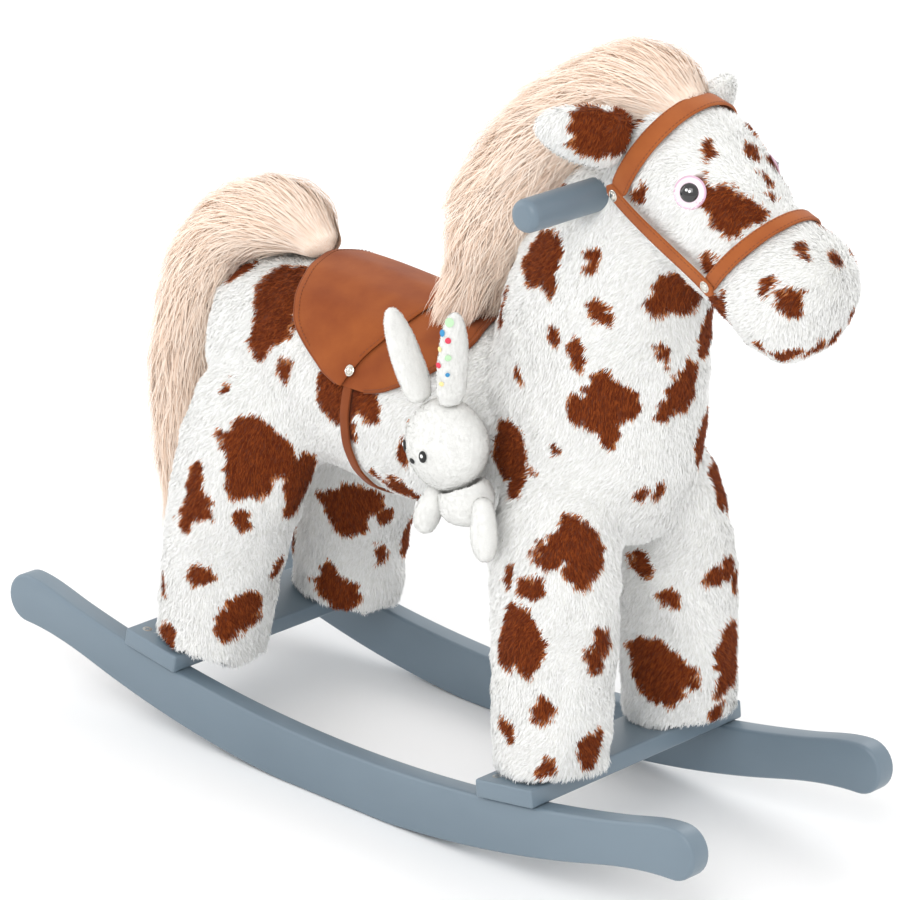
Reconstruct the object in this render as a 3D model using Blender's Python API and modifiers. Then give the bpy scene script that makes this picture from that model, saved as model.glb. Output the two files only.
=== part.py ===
"""Plush rocking horse: a pair of bent wooden rockers, two footboards and a wooden inner
frame inside a stuffed plush body, with saddle, bridle, handle bar and a bunny soft toy.

Metres, +Z up, +X towards the horse's nose, +Y to its left. The rockers' lowest flats lie on
z = 0. Every place below is measured from the middle of the rockers; the empty "horse_frame"
then shifts the whole horse so that the world origin is the bottom centre of its box.
"""

import math

import bmesh
import bpy
from mathutils import Vector
from mathutils.bvhtree import BVHTree

# ---------------------------------------------------------------- driving dimensions
GAP = 0.0003  # between pieces that touch
SOFT_GAP = 0.0008  # between stuffed forms
HOLE_GAP = 0.0004  # round a screw, rivet or post

ROCKER_LENGTH = 0.740
ROCKER_THICKNESS = 0.020
ROCKER_DEPTH = 0.046  # at the middle
ROCKER_OUTER_Y = 0.124
ROCKER_BOTTOM_RADIUS = 1.000
ROCKER_TOP_RADIUS = 1.300
ROCKER_FLAT_HALF = 0.060  # the worn-flat stretch that it rests on
ROCKER_TIP_RADIUS = 0.021
ROCKER_TIP_Z = 0.0700
MUZZLE_FRONT_X = 0.3832  # the nose, ahead of the rocker tips

BOARD_WIDTH = 0.058
BOARD_LENGTH = 0.256
BOARD_THICKNESS = 0.015
BOARD_LIFT = 0.0008  # a flat board over the hollow of the rocker's curve
BOARD_X = {"rear": -0.201, "front": 0.186}

FOOT_X = {"rear": -0.173, "front": 0.192}
FOOT_Y = {"rear": 0.081, "front": 0.078}
FOOT_LIFT = 0.0006
POST_X = {"rear": -0.190, "front": 0.187}
POST_TOP_X = {"rear": -0.120, "front": 0.120}
POST_TOP_Y = 0.042
POST_SIZE = 0.022

SPINE_BOTTOM_Z = 0.286
SPINE_THICKNESS = 0.018
SPINE_HALF_LENGTH = 0.150
SPINE_HALF_WIDTH = 0.058

HANDLE_X = 0.183
HANDLE_Z = 0.533
HANDLE_RADIUS = 0.013
HANDLE_HALF_LENGTH = 0.132
NECK_POST_BASE_X = 0.088
NECK_POST_SIZE = (0.040, 0.026)
NECK_POST_TOP_Z = 0.557

STRAP_THICKNESS = 0.0020
STRAP_LIFT = 0.0006
SADDLE_THICKNESS = 0.0035
RIVET_HEAD_RADIUS = 0.0048

# Stuffed forms: rings along a centre line, each (x, y, z, half width, half depth).
TORSO = [
    (-0.226, 0, 0.308, 0.038, 0.042),
    (-0.212, 0, 0.312, 0.064, 0.068),
    (-0.172, 0, 0.316, 0.085, 0.086),
    (-0.090, 0, 0.312, 0.089, 0.086),
    (0.000, 0, 0.308, 0.089, 0.083),
    (0.070, 0, 0.306, 0.087, 0.084),
    (0.120, 0, 0.306, 0.076, 0.076),
    (0.148, 0, 0.306, 0.052, 0.054),
    (0.158, 0, 0.306, 0.028, 0.030),
]
NECK = [
    (0.146, 0, 0.248, 0.052, 0.056),
    (0.150, 0, 0.264, 0.074, 0.080),
    (0.152, 0, 0.310, 0.084, 0.094),
    (0.154, 0, 0.360, 0.082, 0.095),
    (0.158, 0, 0.410, 0.079, 0.092),
    (0.168, 0, 0.456, 0.073, 0.084),
    (0.184, 0, 0.502, 0.066, 0.071),
    (0.196, 0, 0.538, 0.054, 0.056),
    (0.202, 0, 0.556, 0.032, 0.034),
]
HEAD = [
    (0.181, 0, 0.575, 0.034, 0.036),
    (0.191, 0, 0.569, 0.052, 0.053),
    (0.218, 0, 0.555, 0.060, 0.065),
    (0.252, 0, 0.534, 0.058, 0.064),
    (0.281, 0, 0.513, 0.053, 0.056),
    (0.303, 0, 0.499, 0.049, 0.049),
    (0.324, 0, 0.489, 0.055, 0.054),
    (0.346, 0, 0.480, 0.057, 0.056),
    (0.366, 0, 0.474, 0.047, 0.047),
    (0.378, 0, 0.470, 0.028, 0.028),
]
LEGS = {
    "rear": [
        (-0.173, 0.081, 0.052, 0.046, 0.046),
        (-0.173, 0.081, 0.074, 0.050, 0.051),
        (-0.171, 0.079, 0.140, 0.050, 0.053),
        (-0.159, 0.073, 0.207, 0.052, 0.063),
        (-0.143, 0.062, 0.280, 0.049, 0.068),
        (-0.136, 0.050, 0.326, 0.028, 0.046),
    ],
    "front": [
        (0.192, 0.078, 0.050, 0.045, 0.045),
        (0.191, 0.078, 0.072, 0.048, 0.049),
        (0.188, 0.077, 0.140, 0.049, 0.051),
        (0.180, 0.072, 0.207, 0.051, 0.057),
        (0.169, 0.060, 0.275, 0.049, 0.060),
        (0.160, 0.048, 0.322, 0.028, 0.038),
    ],
}
MANE = [
    (0.240, 0, 0.608, 0.022, 0.018),
    (0.215, 0, 0.614, 0.036, 0.030),
    (0.170, 0, 0.607, 0.042, 0.037),
    (0.117, 0, 0.567, 0.044, 0.038),
    (0.073, 0, 0.505, 0.044, 0.038),
    (0.043, 0, 0.445, 0.042, 0.034),
    (0.027, 0, 0.412, 0.028, 0.020),
]
TAIL = [
    (-0.139, 0, 0.416, 0.012, 0.008),
    (-0.150, 0, 0.422, 0.028, 0.016),
    (-0.187, 0, 0.428, 0.038, 0.028),
    (-0.233, 0, 0.410, 0.040, 0.032),
    (-0.266, 0, 0.362, 0.040, 0.032),
    (-0.281, 0, 0.298, 0.038, 0.030),
    (-0.285, 0, 0.230, 0.034, 0.027),
    (-0.282, 0, 0.174, 0.025, 0.021),
    (-0.280, 0, 0.148, 0.011, 0.011),
]
TAIL_HINGE = (-0.165, 0, 0.400)

EAR = [
    (0.212, 0.044, 0.581, 0.027, 0.015),
    (0.198, 0.066, 0.585, 0.026, 0.014),
    (0.176, 0.086, 0.591, 0.020, 0.011),
    (0.160, 0.097, 0.595, 0.008, 0.005),
]
FAR_EAR = [
    (0.213, 0.037, 0.580, 0.025, 0.014),
    (0.213, 0.054, 0.591, 0.024, 0.013),
    (0.211, 0.068, 0.600, 0.018, 0.009),
    (0.209, 0.077, 0.606, 0.007, 0.005),
]

# Bridle straps lie over the head; each place is (x, z), seen from the side.
CROWN_STRAP = ((0.2050, 0.531), (0.2540, 0.634))
NOSE_STRAP = ((0.2905, 0.482), (0.3500, 0.562))
CHEEK_STRAP = ((0.2016, 0.5458), (0.3030, 0.4847))
UPPER_RIVET = (0.2096, 0.541)
LOWER_RIVET = (0.2950, 0.4895)
EYE = (0.2725, 0.5630)
SADDLE_RIVET = (-0.0292, 0.3452)
GIRTH_LINE = ((-0.029, 0.200), (-0.029, 0.329))
GIRTH_WIDTH = 0.010
CROWN_WIDTH = 0.017
NOSE_WIDTH = 0.012
CHEEK_WIDTH = 0.011

BUNNY_HEAD_CENTRE = (0.096, -0.107, 0.325)
BUNNY_HEAD_RADIUS = 0.038
BUNNY_HEAD_SQUASH = 0.82  # flattened against the flank
BUNNY_FACE = (-0.41, -0.91, 0.0)  # the way it looks: out from the flank and a little back
BUNNY_EYE_SPREAD, BUNNY_EYE_DROP, BUNNY_NOSE_DROP = 0.52, 0.10, 0.36
BUNNY_BODY = [
    (0.106, -0.100, 0.302, 0.020, 0.020),
    (0.112, -0.102, 0.289, 0.025, 0.027),
    (0.117, -0.102, 0.273, 0.025, 0.029),
    (0.118, -0.101, 0.261, 0.016, 0.018),
]
BUNNY_EARS = {
    "right": [
        (0.077, -0.113, 0.352, 0.012, 0.007),
        (0.066, -0.117, 0.379, 0.014, 0.008),
        (0.055, -0.121, 0.407, 0.013, 0.007),
        (0.047, -0.124, 0.430, 0.006, 0.005),
    ],
    "left": [
        (0.103, -0.113, 0.356, 0.012, 0.007),
        (0.106, -0.115, 0.385, 0.014, 0.008),
        (0.109, -0.118, 0.415, 0.013, 0.007),
        (0.110, -0.120, 0.441, 0.006, 0.005),
    ],
}
BUNNY_PATCH = (0.100, -0.085, 0.300)

SIDES = {"right": -1, "left": 1}
SHIFT_X = -(MUZZLE_FRONT_X - ROCKER_LENGTH / 2) / 2
CAGE_SIDES = 10
CAGE_FIT = 1 / math.cos(math.pi / CAGE_SIDES)  # undoes the shrink of one subdivision


# ---------------------------------------------------------------- scene and materials
def clear_scene():
    for obj in list(bpy.data.objects):
        bpy.data.objects.remove(obj, do_unlink=True)


def new_collection(name):
    collection = bpy.data.collections.new(name)
    bpy.context.scene.collection.children.link(collection)
    return collection


def principled(name, colour, roughness, metallic=0.0):
    material = bpy.data.materials.new(name)
    material.use_nodes = True
    shader = material.node_tree.nodes["Principled BSDF"]
    shader.inputs["Base Color"].default_value = (*colour, 1.0)
    shader.inputs["Roughness"].default_value = roughness
    shader.inputs["Metallic"].default_value = metallic
    return material


clear_scene()
PARTS = new_collection("plush_rocking_horse")
CUTTERS = new_collection("cutters")

PAINT = principled("grey_blue_paint", (0.22, 0.31, 0.37), 0.35)
PINE = principled("pine", (0.62, 0.44, 0.26), 0.6)
PLUSH = principled("white_plush", (0.86, 0.86, 0.84), 0.95)
LONG_FUR = principled("peach_fur", (0.90, 0.74, 0.62), 0.95)
SUEDE = principled("brown_suede", (0.38, 0.13, 0.05), 0.8)
STEEL = principled("zinc_steel", (0.65, 0.64, 0.62), 0.3, 1.0)
BLACK_PLASTIC = principled("black_plastic", (0.01, 0.01, 0.01), 0.1)
SHORT_PLUSH = principled("bunny_plush", (0.90, 0.90, 0.89), 0.9)


def add_object(name, mesh, material=None):
    """A cutter has no material: it is kept out of renders and drawn as wires."""
    obj = bpy.data.objects.new(name, mesh)
    obj.parent = HORSE_FRAME
    if material is None:
        CUTTERS.objects.link(obj)
        obj.hide_render = True
        obj.display_type = "WIRE"
    else:
        PARTS.objects.link(obj)
        mesh.materials.append(material)
    return obj


def add_empty(name, place, parent=None):
    empty = bpy.data.objects.new(name, None)
    empty.location = place
    empty.parent = parent
    PARTS.objects.link(empty)
    return empty


HORSE_FRAME = add_empty("horse_frame", (SHIFT_X, 0, 0))


def hang_on(empty, objects):
    """Parents the pieces to the empty on their joint, and leaves them where they are."""
    for obj in objects:
        obj.parent = empty
        obj.location -= empty.location


def mesh_from(name, bm):
    bmesh.ops.recalc_face_normals(bm, faces=bm.faces)
    mesh = bpy.data.meshes.new(name)
    bm.to_mesh(mesh)
    bm.free()
    return mesh


def smooth(mesh, angle=40):
    mesh.shade_smooth()
    mesh.set_sharp_from_angle(angle=math.radians(angle))


def cut(obj, cutters):
    for cutter in cutters:
        modifier = obj.modifiers.new("cut_" + cutter.name, "BOOLEAN")
        modifier.operation = "DIFFERENCE"
        modifier.object = cutter


def keep(obj, region):
    modifier = obj.modifiers.new("keep_" + region.name, "BOOLEAN")
    modifier.operation = "INTERSECT"
    modifier.object = region


# ---------------------------------------------------------------- shapes
def soft_form(name, rings, material=None, grow=0.0, sideways=(0, 1, 0)):
    """A stuffed form: elliptical rings across a centre line, closed and subdivided once.

    grow makes it that much bigger all round, for cutting a neighbour with clearance.
    """
    places = [Vector(ring[:3]) for ring in rings]
    last = len(rings) - 1
    bm = bmesh.new()
    loops = []
    for i, ring in enumerate(rings):
        along = (places[min(i + 1, last)] - places[max(i - 1, 0)]).normalized()
        deep = along.cross(Vector(sideways)).normalized()
        across = deep.cross(along).normalized()
        push = grow * ((i == last) - (i == 0))
        centre = places[i] + along * push
        loop = []
        for step in range(CAGE_SIDES):
            turn = math.tau * (step + 0.5) / CAGE_SIDES
            side = across * math.cos(turn) * (ring[3] + grow)
            rise = deep * math.sin(turn) * (ring[4] + grow)
            loop.append(bm.verts.new(centre + (side + rise) * CAGE_FIT))
        loops.append(loop)
    for a, b in zip(loops, loops[1:]):
        for k in range(CAGE_SIDES):
            n = (k + 1) % CAGE_SIDES
            bm.faces.new((a[k], a[n], b[n], b[k]))
    bm.faces.new(loops[0])
    bm.faces.new(loops[-1])
    mesh = mesh_from(name, bm)
    mesh.shade_smooth()
    obj = add_object(name, mesh, material)
    rounding = obj.modifiers.new("rounding", "SUBSURF")
    rounding.levels = 1
    rounding.render_levels = 1
    return obj


def mirrored(rings):
    return [(x, -y, z, *size) for x, y, z, *size in rings]


def turned(name, profile, material=None, steps=10, grow=0.0):
    """A round piece from a profile of (radius, height), which runs down its outer side."""
    top = profile[0][1]
    bm = bmesh.new()
    verts = []
    for radius, height in profile:
        lift = grow if height == top else 0.0
        drop = grow if height == profile[-1][1] else 0.0
        wide = radius + grow if radius > 0 else 0.0
        verts.append(bm.verts.new((wide, 0, height + lift - drop)))
    for a, b in zip(verts, verts[1:]):
        bm.edges.new((a, b))
    mesh = bpy.data.meshes.new(name)
    bm.to_mesh(mesh)
    bm.free()
    obj = add_object(name, mesh, material)
    screw = obj.modifiers.new("turn", "SCREW")
    screw.steps = steps
    screw.render_steps = steps
    screw.use_merge_vertices = True
    screw.merge_threshold = 1e-6
    screw.use_smooth_shade = False
    return obj


def stand(obj, place, direction):
    """Puts a turned piece's zero height at a place, with its top towards a direction."""
    obj.location = place
    obj.rotation_euler = Vector(direction).to_track_quat("Z", "Y").to_euler()


def fastener(name, profile, place, direction, hosts, material=STEEL, steps=10):
    """A screw, rivet or eye, and its clearance hole in each piece that it goes through."""
    stand(turned(name, profile, material, steps), place, direction)
    hole = turned(name + "_hole", profile, steps=steps, grow=HOLE_GAP)
    stand(hole, place, direction)
    for host in hosts:
        cut(host, [hole])


def screw_profile(length, shank=0.0021, head=0.0042, head_depth=0.0028):
    """A countersunk wood screw whose flat head is at height 0."""
    return [(0, 0), (head, 0), (shank, -head_depth), (shank, -length), (0, -length - shank)]


def rivet_profile(dome=0.0022, shank=0.0018, length=0.007):
    wide = RIVET_HEAD_RADIUS
    return [
        (0, dome),
        (wide * 0.62, dome * 0.75),
        (wide, 0.0004),
        (wide, 0),
        (shank, 0),
        (shank, -length),
        (0, -length),
    ]


def slab(name, corners, half_width, material=None):
    """A flat plate: its outline's corners are (x, z), and it reaches half_width each way in Y."""
    return prism(name, corners, -half_width, half_width, material)


def prism(name, corners, low_y, high_y, material=None):
    bm = bmesh.new()
    face = bm.faces.new([bm.verts.new((x, low_y, z)) for x, z in corners])
    made = bmesh.ops.extrude_face_region(bm, geom=[face])["geom"]
    moved = [v for v in made if isinstance(v, bmesh.types.BMVert)]
    bmesh.ops.translate(bm, verts=moved, vec=(0, high_y - low_y, 0))
    return add_object(name, mesh_from(name, bm), material)


def box(name, low, high, material=None):
    bm = bmesh.new()
    bmesh.ops.create_cube(bm, size=1.0)
    for vert in bm.verts:
        vert.co = [a + (c + 0.5) * (b - a) for a, b, c in zip(low, high, vert.co)]
    return add_object(name, mesh_from(name, bm), material)


def soften_edges(obj, width):
    bevel = obj.modifiers.new("eased_edges", "BEVEL")
    bevel.width = width
    bevel.segments = 1
    bevel.limit_method = "ANGLE"
    bevel.angle_limit = math.radians(40)


# ---------------------------------------------------------------- rockers and footboards
def rocker_top_z(x):
    return ROCKER_DEPTH + ROCKER_TOP_RADIUS - math.sqrt(ROCKER_TOP_RADIUS**2 - x * x)


def rocker_bottom_z(x):
    """The rolling arc, which starts at the ends of the flat."""
    flat_rise = ROCKER_BOTTOM_RADIUS - math.sqrt(ROCKER_BOTTOM_RADIUS**2 - ROCKER_FLAT_HALF**2)
    return ROCKER_BOTTOM_RADIUS - math.sqrt(ROCKER_BOTTOM_RADIUS**2 - x * x) - flat_rise


def ease(start, end, steps):
    """Points of a smooth run between two (x, z, slope) ends, without the first."""
    (x0, z0, s0), (x1, z1, s1) = start, end
    run = x1 - x0
    points = []
    for k in range(1, steps + 1):
        t = k / steps
        z = (
            (2 * t**3 - 3 * t**2 + 1) * z0
            + (t**3 - 2 * t**2 + t) * run * s0
            + (3 * t**2 - 2 * t**3) * z1
            + (t**3 - t**2) * run * s1
        )
        points.append((x0 + t * run, z))
    return points


def rocker_half_outline():
    """From the flat's front end, along the bottom, round the tip and back over the top."""
    tip_x = ROCKER_LENGTH / 2 - ROCKER_TIP_RADIUS
    arc_end = 0.270
    top_start = 0.290
    arc_steps = 8
    points = []
    for k in range(arc_steps + 1):
        x = ROCKER_FLAT_HALF + (arc_end - ROCKER_FLAT_HALF) * k / arc_steps
        points.append((x, rocker_bottom_z(x)))
    arc_slope = arc_end / math.sqrt(ROCKER_BOTTOM_RADIUS**2 - arc_end**2)
    tip_low = (tip_x, ROCKER_TIP_Z - ROCKER_TIP_RADIUS, 0.02)
    points += ease((*points[-1], arc_slope), tip_low, 6)
    for k in range(1, 9):
        turn = math.pi * (k / 8 - 0.5)
        across = ROCKER_TIP_RADIUS * math.cos(turn)
        rise = ROCKER_TIP_RADIUS * math.sin(turn)
        points.append((tip_x + across, ROCKER_TIP_Z + rise))
    top_slope = top_start / math.sqrt(ROCKER_TOP_RADIUS**2 - top_start**2)
    tip_high = (*points[-1], 0.02)
    points += ease(tip_high, (top_start, rocker_top_z(top_start), top_slope), 4)
    for k in range(1, arc_steps):
        x = top_start * (1 - k / arc_steps)
        points.append((x, rocker_top_z(x)))
    return points


def build_rockers():
    half = rocker_half_outline()
    rear_half = [(-x, z) for x, z in reversed(half)]
    outline = half + [(0.0, rocker_top_z(0.0))] + rear_half
    inner = ROCKER_OUTER_Y - ROCKER_THICKNESS
    rails = {}
    for side, sign in SIDES.items():
        low, high = sorted((sign * inner, sign * ROCKER_OUTER_Y))
        rail = prism("rocker_" + side, outline, low, high, PAINT)
        soften_edges(rail, 0.0025)
        smooth(rail.data)
        rails[side] = rail
    return rails


def board_frame(end):
    """The middle of a footboard's underside, and its directions along and up."""
    x = BOARD_X[end]
    centre = Vector((0, 0, ROCKER_DEPTH + ROCKER_TOP_RADIUS))
    up = (centre - Vector((x, 0, rocker_top_z(x)))).normalized()
    middle = centre - up * (ROCKER_TOP_RADIUS - BOARD_LIFT)
    return middle, Vector((up.z, 0, -up.x)), up


def board_point(end, along, y, height):
    middle, ahead, up = board_frame(end)
    return middle + ahead * along + up * height + Vector((0, y, 0))


def board_top_z(end, x):
    """Height of a footboard's top plane over a place x."""
    middle, ahead, up = board_frame(end)
    top = middle + up * BOARD_THICKNESS
    return top.z + (x - top.x) * ahead.z / ahead.x


def build_footboards():
    boards = {}
    for end in BOARD_X:
        half = BOARD_WIDTH / 2
        corners = [
            board_point(end, a, 0, h)
            for a, h in (
                (-half, 0),
                (half, 0),
                (half, BOARD_THICKNESS),
                (-half, BOARD_THICKNESS),
            )
        ]
        outline = [(c.x, c.z) for c in corners]
        board = slab(end + "_footboard", outline, BOARD_LENGTH / 2, PAINT)
        soften_edges(board, 0.0015)
        boards[end] = board
    return boards


def screw_boards_to_rockers(boards, rails):
    """One screw at each end of a board, near its rear edge, down into the rocker."""
    rail_middle = ROCKER_OUTER_Y - ROCKER_THICKNESS / 2
    for end, board in boards.items():
        for side, sign in SIDES.items():
            place = board_point(end, -0.018, sign * rail_middle, BOARD_THICKNESS + 0.0001)
            name = f"board_screw_{end}_{side}"
            fastener(name, screw_profile(0.034), place, board_frame(end)[2], [board, rails[side]])


# ---------------------------------------------------------------- inner wooden frame
def leaning_bar(name, foot, top, size, material=None, grow=0.0, foot_slope=0.0):
    """A square bar from foot to top, level at its top; foot_slope tilts its lower end."""
    half_x, half_y = size[0] / 2 + grow, size[1] / 2 + grow
    along = Vector(top) - Vector(foot)
    bm = bmesh.new()
    bmesh.ops.create_cube(bm, size=2.0)
    for vert in bm.verts:
        offset = Vector((vert.co.x * half_x, vert.co.y * half_y, 0))
        if vert.co.z > 0:
            vert.co = Vector(top) + offset
        else:
            slide = foot_slope * offset.x / (along.z - foot_slope * along.x)
            vert.co = Vector(foot) + offset + along * slide
    return add_object(name, mesh_from(name, bm), material)


def channel_for(name, foot, top, size, foot_z, top_z):
    """The clearance round a leaning bar, carried on past its ends to two heights."""
    foot, top = Vector(foot), Vector(top)
    along = (top - foot) / (top.z - foot.z)
    low = foot + along * (foot_z - foot.z)
    high = top + along * (top_z - top.z)
    return leaning_bar(name, low, high, size, grow=HOLE_GAP)


def build_posts(boards):
    """The four leg posts, each screwed through its footboard from below."""
    posts, channels = {}, {}
    for end, board in boards.items():
        for side, sign in SIDES.items():
            size = (POST_SIZE, POST_SIZE)
            ahead = board_frame(end)[1]
            foot_z = board_top_z(end, POST_X[end]) + GAP
            foot = (POST_X[end], sign * (FOOT_Y[end] - 0.004), foot_z)
            top = (POST_TOP_X[end], sign * POST_TOP_Y, SPINE_BOTTOM_Z - GAP)
            name = f"leg_post_{end}_{side}"
            post = leaning_bar(name, foot, top, size, PINE, foot_slope=ahead.z / ahead.x)
            low_z, high_z = foot_z - 0.020, top[2] + 0.004
            channel = channel_for(name + "_channel", foot, top, size, low_z, high_z)
            along = (POST_X[end] - BOARD_X[end]) / ahead.x
            place = board_point(end, along, foot[1], -0.0001)
            down = -board_frame(end)[2]
            fastener(f"post_screw_{end}_{side}", screw_profile(0.036), place, down, [board, post])
            posts[end, side] = post
            channels[end, side] = channel
    return posts, channels


def build_spine(posts):
    """The board inside the belly that the posts hold up. Returns it and the room for it."""
    low = (-SPINE_HALF_LENGTH, -SPINE_HALF_WIDTH, SPINE_BOTTOM_Z)
    high = (SPINE_HALF_LENGTH, SPINE_HALF_WIDTH, SPINE_BOTTOM_Z + SPINE_THICKNESS)
    spine = box("spine_board", low, high, PINE)
    grown_low = [c - HOLE_GAP for c in low]
    grown_high = [c + HOLE_GAP for c in high]
    room = box("spine_room", grown_low, grown_high)
    for (end, side), post in posts.items():
        toward_foot = 0.003 if end == "front" else -0.003
        x = POST_TOP_X[end] + toward_foot
        place = (x, SIDES[side] * POST_TOP_Y, high[2] - 0.0001)
        name = f"spine_screw_{end}_{side}"
        fastener(name, screw_profile(0.034), place, (0, 0, 1), [spine, post])
    return spine, room


def build_neck_post(spine):
    """The post that leans up from the spine board to the handle bar."""
    foot_z = SPINE_BOTTOM_Z + SPINE_THICKNESS + GAP
    foot = Vector((NECK_POST_BASE_X, 0, foot_z))
    lean = (Vector((HANDLE_X, 0, HANDLE_Z)) - foot) / (HANDLE_Z - foot_z)
    top = foot + lean * (NECK_POST_TOP_Z - foot_z)
    post = leaning_bar("neck_post", foot, top, NECK_POST_SIZE, PINE)
    low_z, high_z = foot_z - 0.004, NECK_POST_TOP_Z + HOLE_GAP
    channel = channel_for("neck_post_channel", foot, top, NECK_POST_SIZE, low_z, high_z)
    for number, x in enumerate((0.001, 0.014)):
        place = (foot.x + x, 0, SPINE_BOTTOM_Z + 0.0001)
        name = f"neck_post_screw_{number + 1}"
        fastener(name, screw_profile(0.034), place, (0, 0, -1), [spine, post])
    return post, channel


def build_handle(neck_post):
    """The dowel across the neck post. Returns the clearance hole for it."""
    half = HANDLE_HALF_LENGTH
    crown = 0.006  # rounding of each end
    quarter = [math.radians(a) for a in (0, 30, 60, 90)]
    top = [
        (HANDLE_RADIUS - crown + crown * math.sin(a), half - crown + crown * math.cos(a))
        for a in quarter
    ]
    bottom = [(r, -h) for r, h in reversed(top)]
    profile = [(0, half), *top, *bottom, (0, -half)]
    handle = turned("handle_bar", profile, PAINT, 20)
    stand(handle, (HANDLE_X, 0, HANDLE_Z), (0, 1, 0))
    smooth(handle.data)
    bore = turned("handle_bore", profile, steps=20, grow=HOLE_GAP)
    stand(bore, (HANDLE_X, 0, HANDLE_Z), (0, 1, 0))
    cut(neck_post, [bore])
    place = (HANDLE_X + 0.004, 0, NECK_POST_TOP_Z - 0.0001)
    fastener("handle_screw", screw_profile(0.024), place, (0, 0, 1), [neck_post, handle])
    return bore


# ---------------------------------------------------------------- plush body
def foot_plane(end, side):
    """Everything below the sole of a foot, which lies along its footboard."""
    x = FOOT_X[end]
    reach = 0.080
    low = 0.030
    corners = [
        (x - reach, low),
        (x + reach, low),
        (x + reach, board_top_z(end, x + reach) + FOOT_LIFT),
        (x - reach, board_top_z(end, x - reach) + FOOT_LIFT),
    ]
    return slab(f"sole_{end}_{side}", corners, 0.20)


def build_body(channels, spine_room, neck_channel, handle_bore):
    """The stuffed torso, neck, head and legs, each hollowed for the wooden frame."""
    wood = [spine_room, neck_channel, *channels.values()]
    torso = soft_form("torso_plush", TORSO, PLUSH)
    cut(torso, wood)
    torso_room = soft_form("torso_room", TORSO, grow=SOFT_GAP)

    neck = soft_form("neck_plush", NECK, PLUSH)
    front_channels = [channels["front", side] for side in SIDES]
    cut(neck, [*front_channels, torso_room, spine_room, neck_channel, handle_bore])
    neck_room = soft_form("neck_room", NECK, grow=SOFT_GAP)

    head = soft_form("head_plush", HEAD, PLUSH)
    cut(head, [neck_room, neck_channel, handle_bore])
    head_room = soft_form("head_room", HEAD, grow=SOFT_GAP)

    for end, rings in LEGS.items():
        for side, sign in SIDES.items():
            path = rings if sign > 0 else mirrored(rings)
            leg = soft_form(f"leg_plush_{end}_{side}", path, PLUSH)
            cut(leg, [foot_plane(end, side), torso_room, channels[end, side]])
            if end == "front":
                cut(leg, [neck_room])
    rooms = {"torso": torso_room, "neck": neck_room, "head": head_room}
    return torso, neck, head, rooms


def ear_form(name, side, material=None, grow=0.0):
    rings = mirrored(EAR) if side == "right" else FAR_EAR
    return soft_form(name, rings, material, grow, sideways=(0.2, 0, 1))


def build_ears(head_room, handle_bore):
    ears = {}
    for side in SIDES:
        ears[side] = ear_form("ear_" + side, side, PLUSH)
        cut(ears[side], [head_room, handle_bore])
    return ears


def build_mane(rooms, handle_bore):
    mane = soft_form("mane", MANE, LONG_FUR)
    ear_rooms = [ear_form(side + "_ear_room", side, grow=SOFT_GAP) for side in SIDES]
    cut(mane, [rooms["head"], rooms["neck"], rooms["torso"], handle_bore, *ear_rooms])
    return mane


def build_tail():
    tail = soft_form("tail", TAIL, LONG_FUR)
    tail_clearance = soft_form("tail_clearance", TORSO, grow=0.0025)
    cut(tail, [tail_clearance])
    hang_on(add_empty("tail_hinge", TAIL_HINGE, HORSE_FRAME), [tail])


# ---------------------------------------------------------------- saddle and straps
def skin(name, rings, region, low, high, material):
    """The layer of a form between two heights above its surface, kept inside a region."""
    layer = soft_form(name, rings, material, grow=high)
    cut(layer, [soft_form(name + "_under", rings, grow=low)])
    keep(layer, region)
    return layer


def surface_point(rings, start, direction, lift):
    """Where a ray from start meets a form grown by lift, and the outward normal there."""
    probe = soft_form("probe", rings, grow=lift)
    bpy.context.view_layer.update()
    graph = bpy.context.evaluated_depsgraph_get()
    tree = BVHTree.FromObject(probe, graph)
    place, normal, _, _ = tree.ray_cast(Vector(start), Vector(direction))
    mesh = probe.data
    bpy.data.objects.remove(probe, do_unlink=True)
    bpy.data.meshes.remove(mesh)
    return place, normal


def build_saddle(mane, torso, neck):
    """The saddle over the back. Returns the room that its neighbours leave for it."""
    outline = [
        (-0.132, 0.440),
        (-0.130, 0.398),
        (-0.116, 0.382),
        (-0.100, 0.364),
        (-0.075, 0.348),
        (-0.045, 0.335),
        (-0.028, 0.331),
        (-0.010, 0.335),
        (0.014, 0.343),
        (0.040, 0.358),
        (0.056, 0.374),
        (0.058, 0.388),
        (0.048, 0.440),
    ]
    region = slab("saddle_region", outline, 0.150)
    saddle = skin("saddle", TORSO, region, STRAP_LIFT, STRAP_LIFT + SADDLE_THICKNESS, SUEDE)
    saddle_room = soft_form("saddle_room", TORSO, grow=STRAP_LIFT + SADDLE_THICKNESS + GAP)
    saddle_zone = slab("saddle_zone", [(x * 1.01, z) for x, z in outline], 0.150)
    keep(saddle_room, saddle_zone)
    cut(mane, [saddle_room])
    cut(neck, [saddle_room])
    for side, sign in SIDES.items():
        place, normal = surface_point(
            TORSO,
            (SADDLE_RIVET[0], sign * 0.2, SADDLE_RIVET[1]),
            (0, -sign, 0),
            STRAP_LIFT + SADDLE_THICKNESS,
        )
        fastener("saddle_rivet_" + side, rivet_profile(), place, normal, [saddle, torso])
    return saddle_room


def build_girth():
    """A narrow strap from under the saddle's flaps round the belly."""
    region = slab("girth_region", strip(*GIRTH_LINE, GIRTH_WIDTH), 0.15)
    return skin("girth_strap", TORSO, region, STRAP_LIFT, STRAP_LIFT + STRAP_THICKNESS, SUEDE)


def strip(start, end, width, ends=0.0):
    """The (x, z) corners of a straight band between two places, carried past them by ends."""
    along = (Vector(end) - Vector(start)).normalized()
    a = Vector(start) - along * ends
    b = Vector(end) + along * ends
    across = along.orthogonal() * width / 2
    return [tuple(p) for p in (a + across, a - across, b - across, b + across)]


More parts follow.
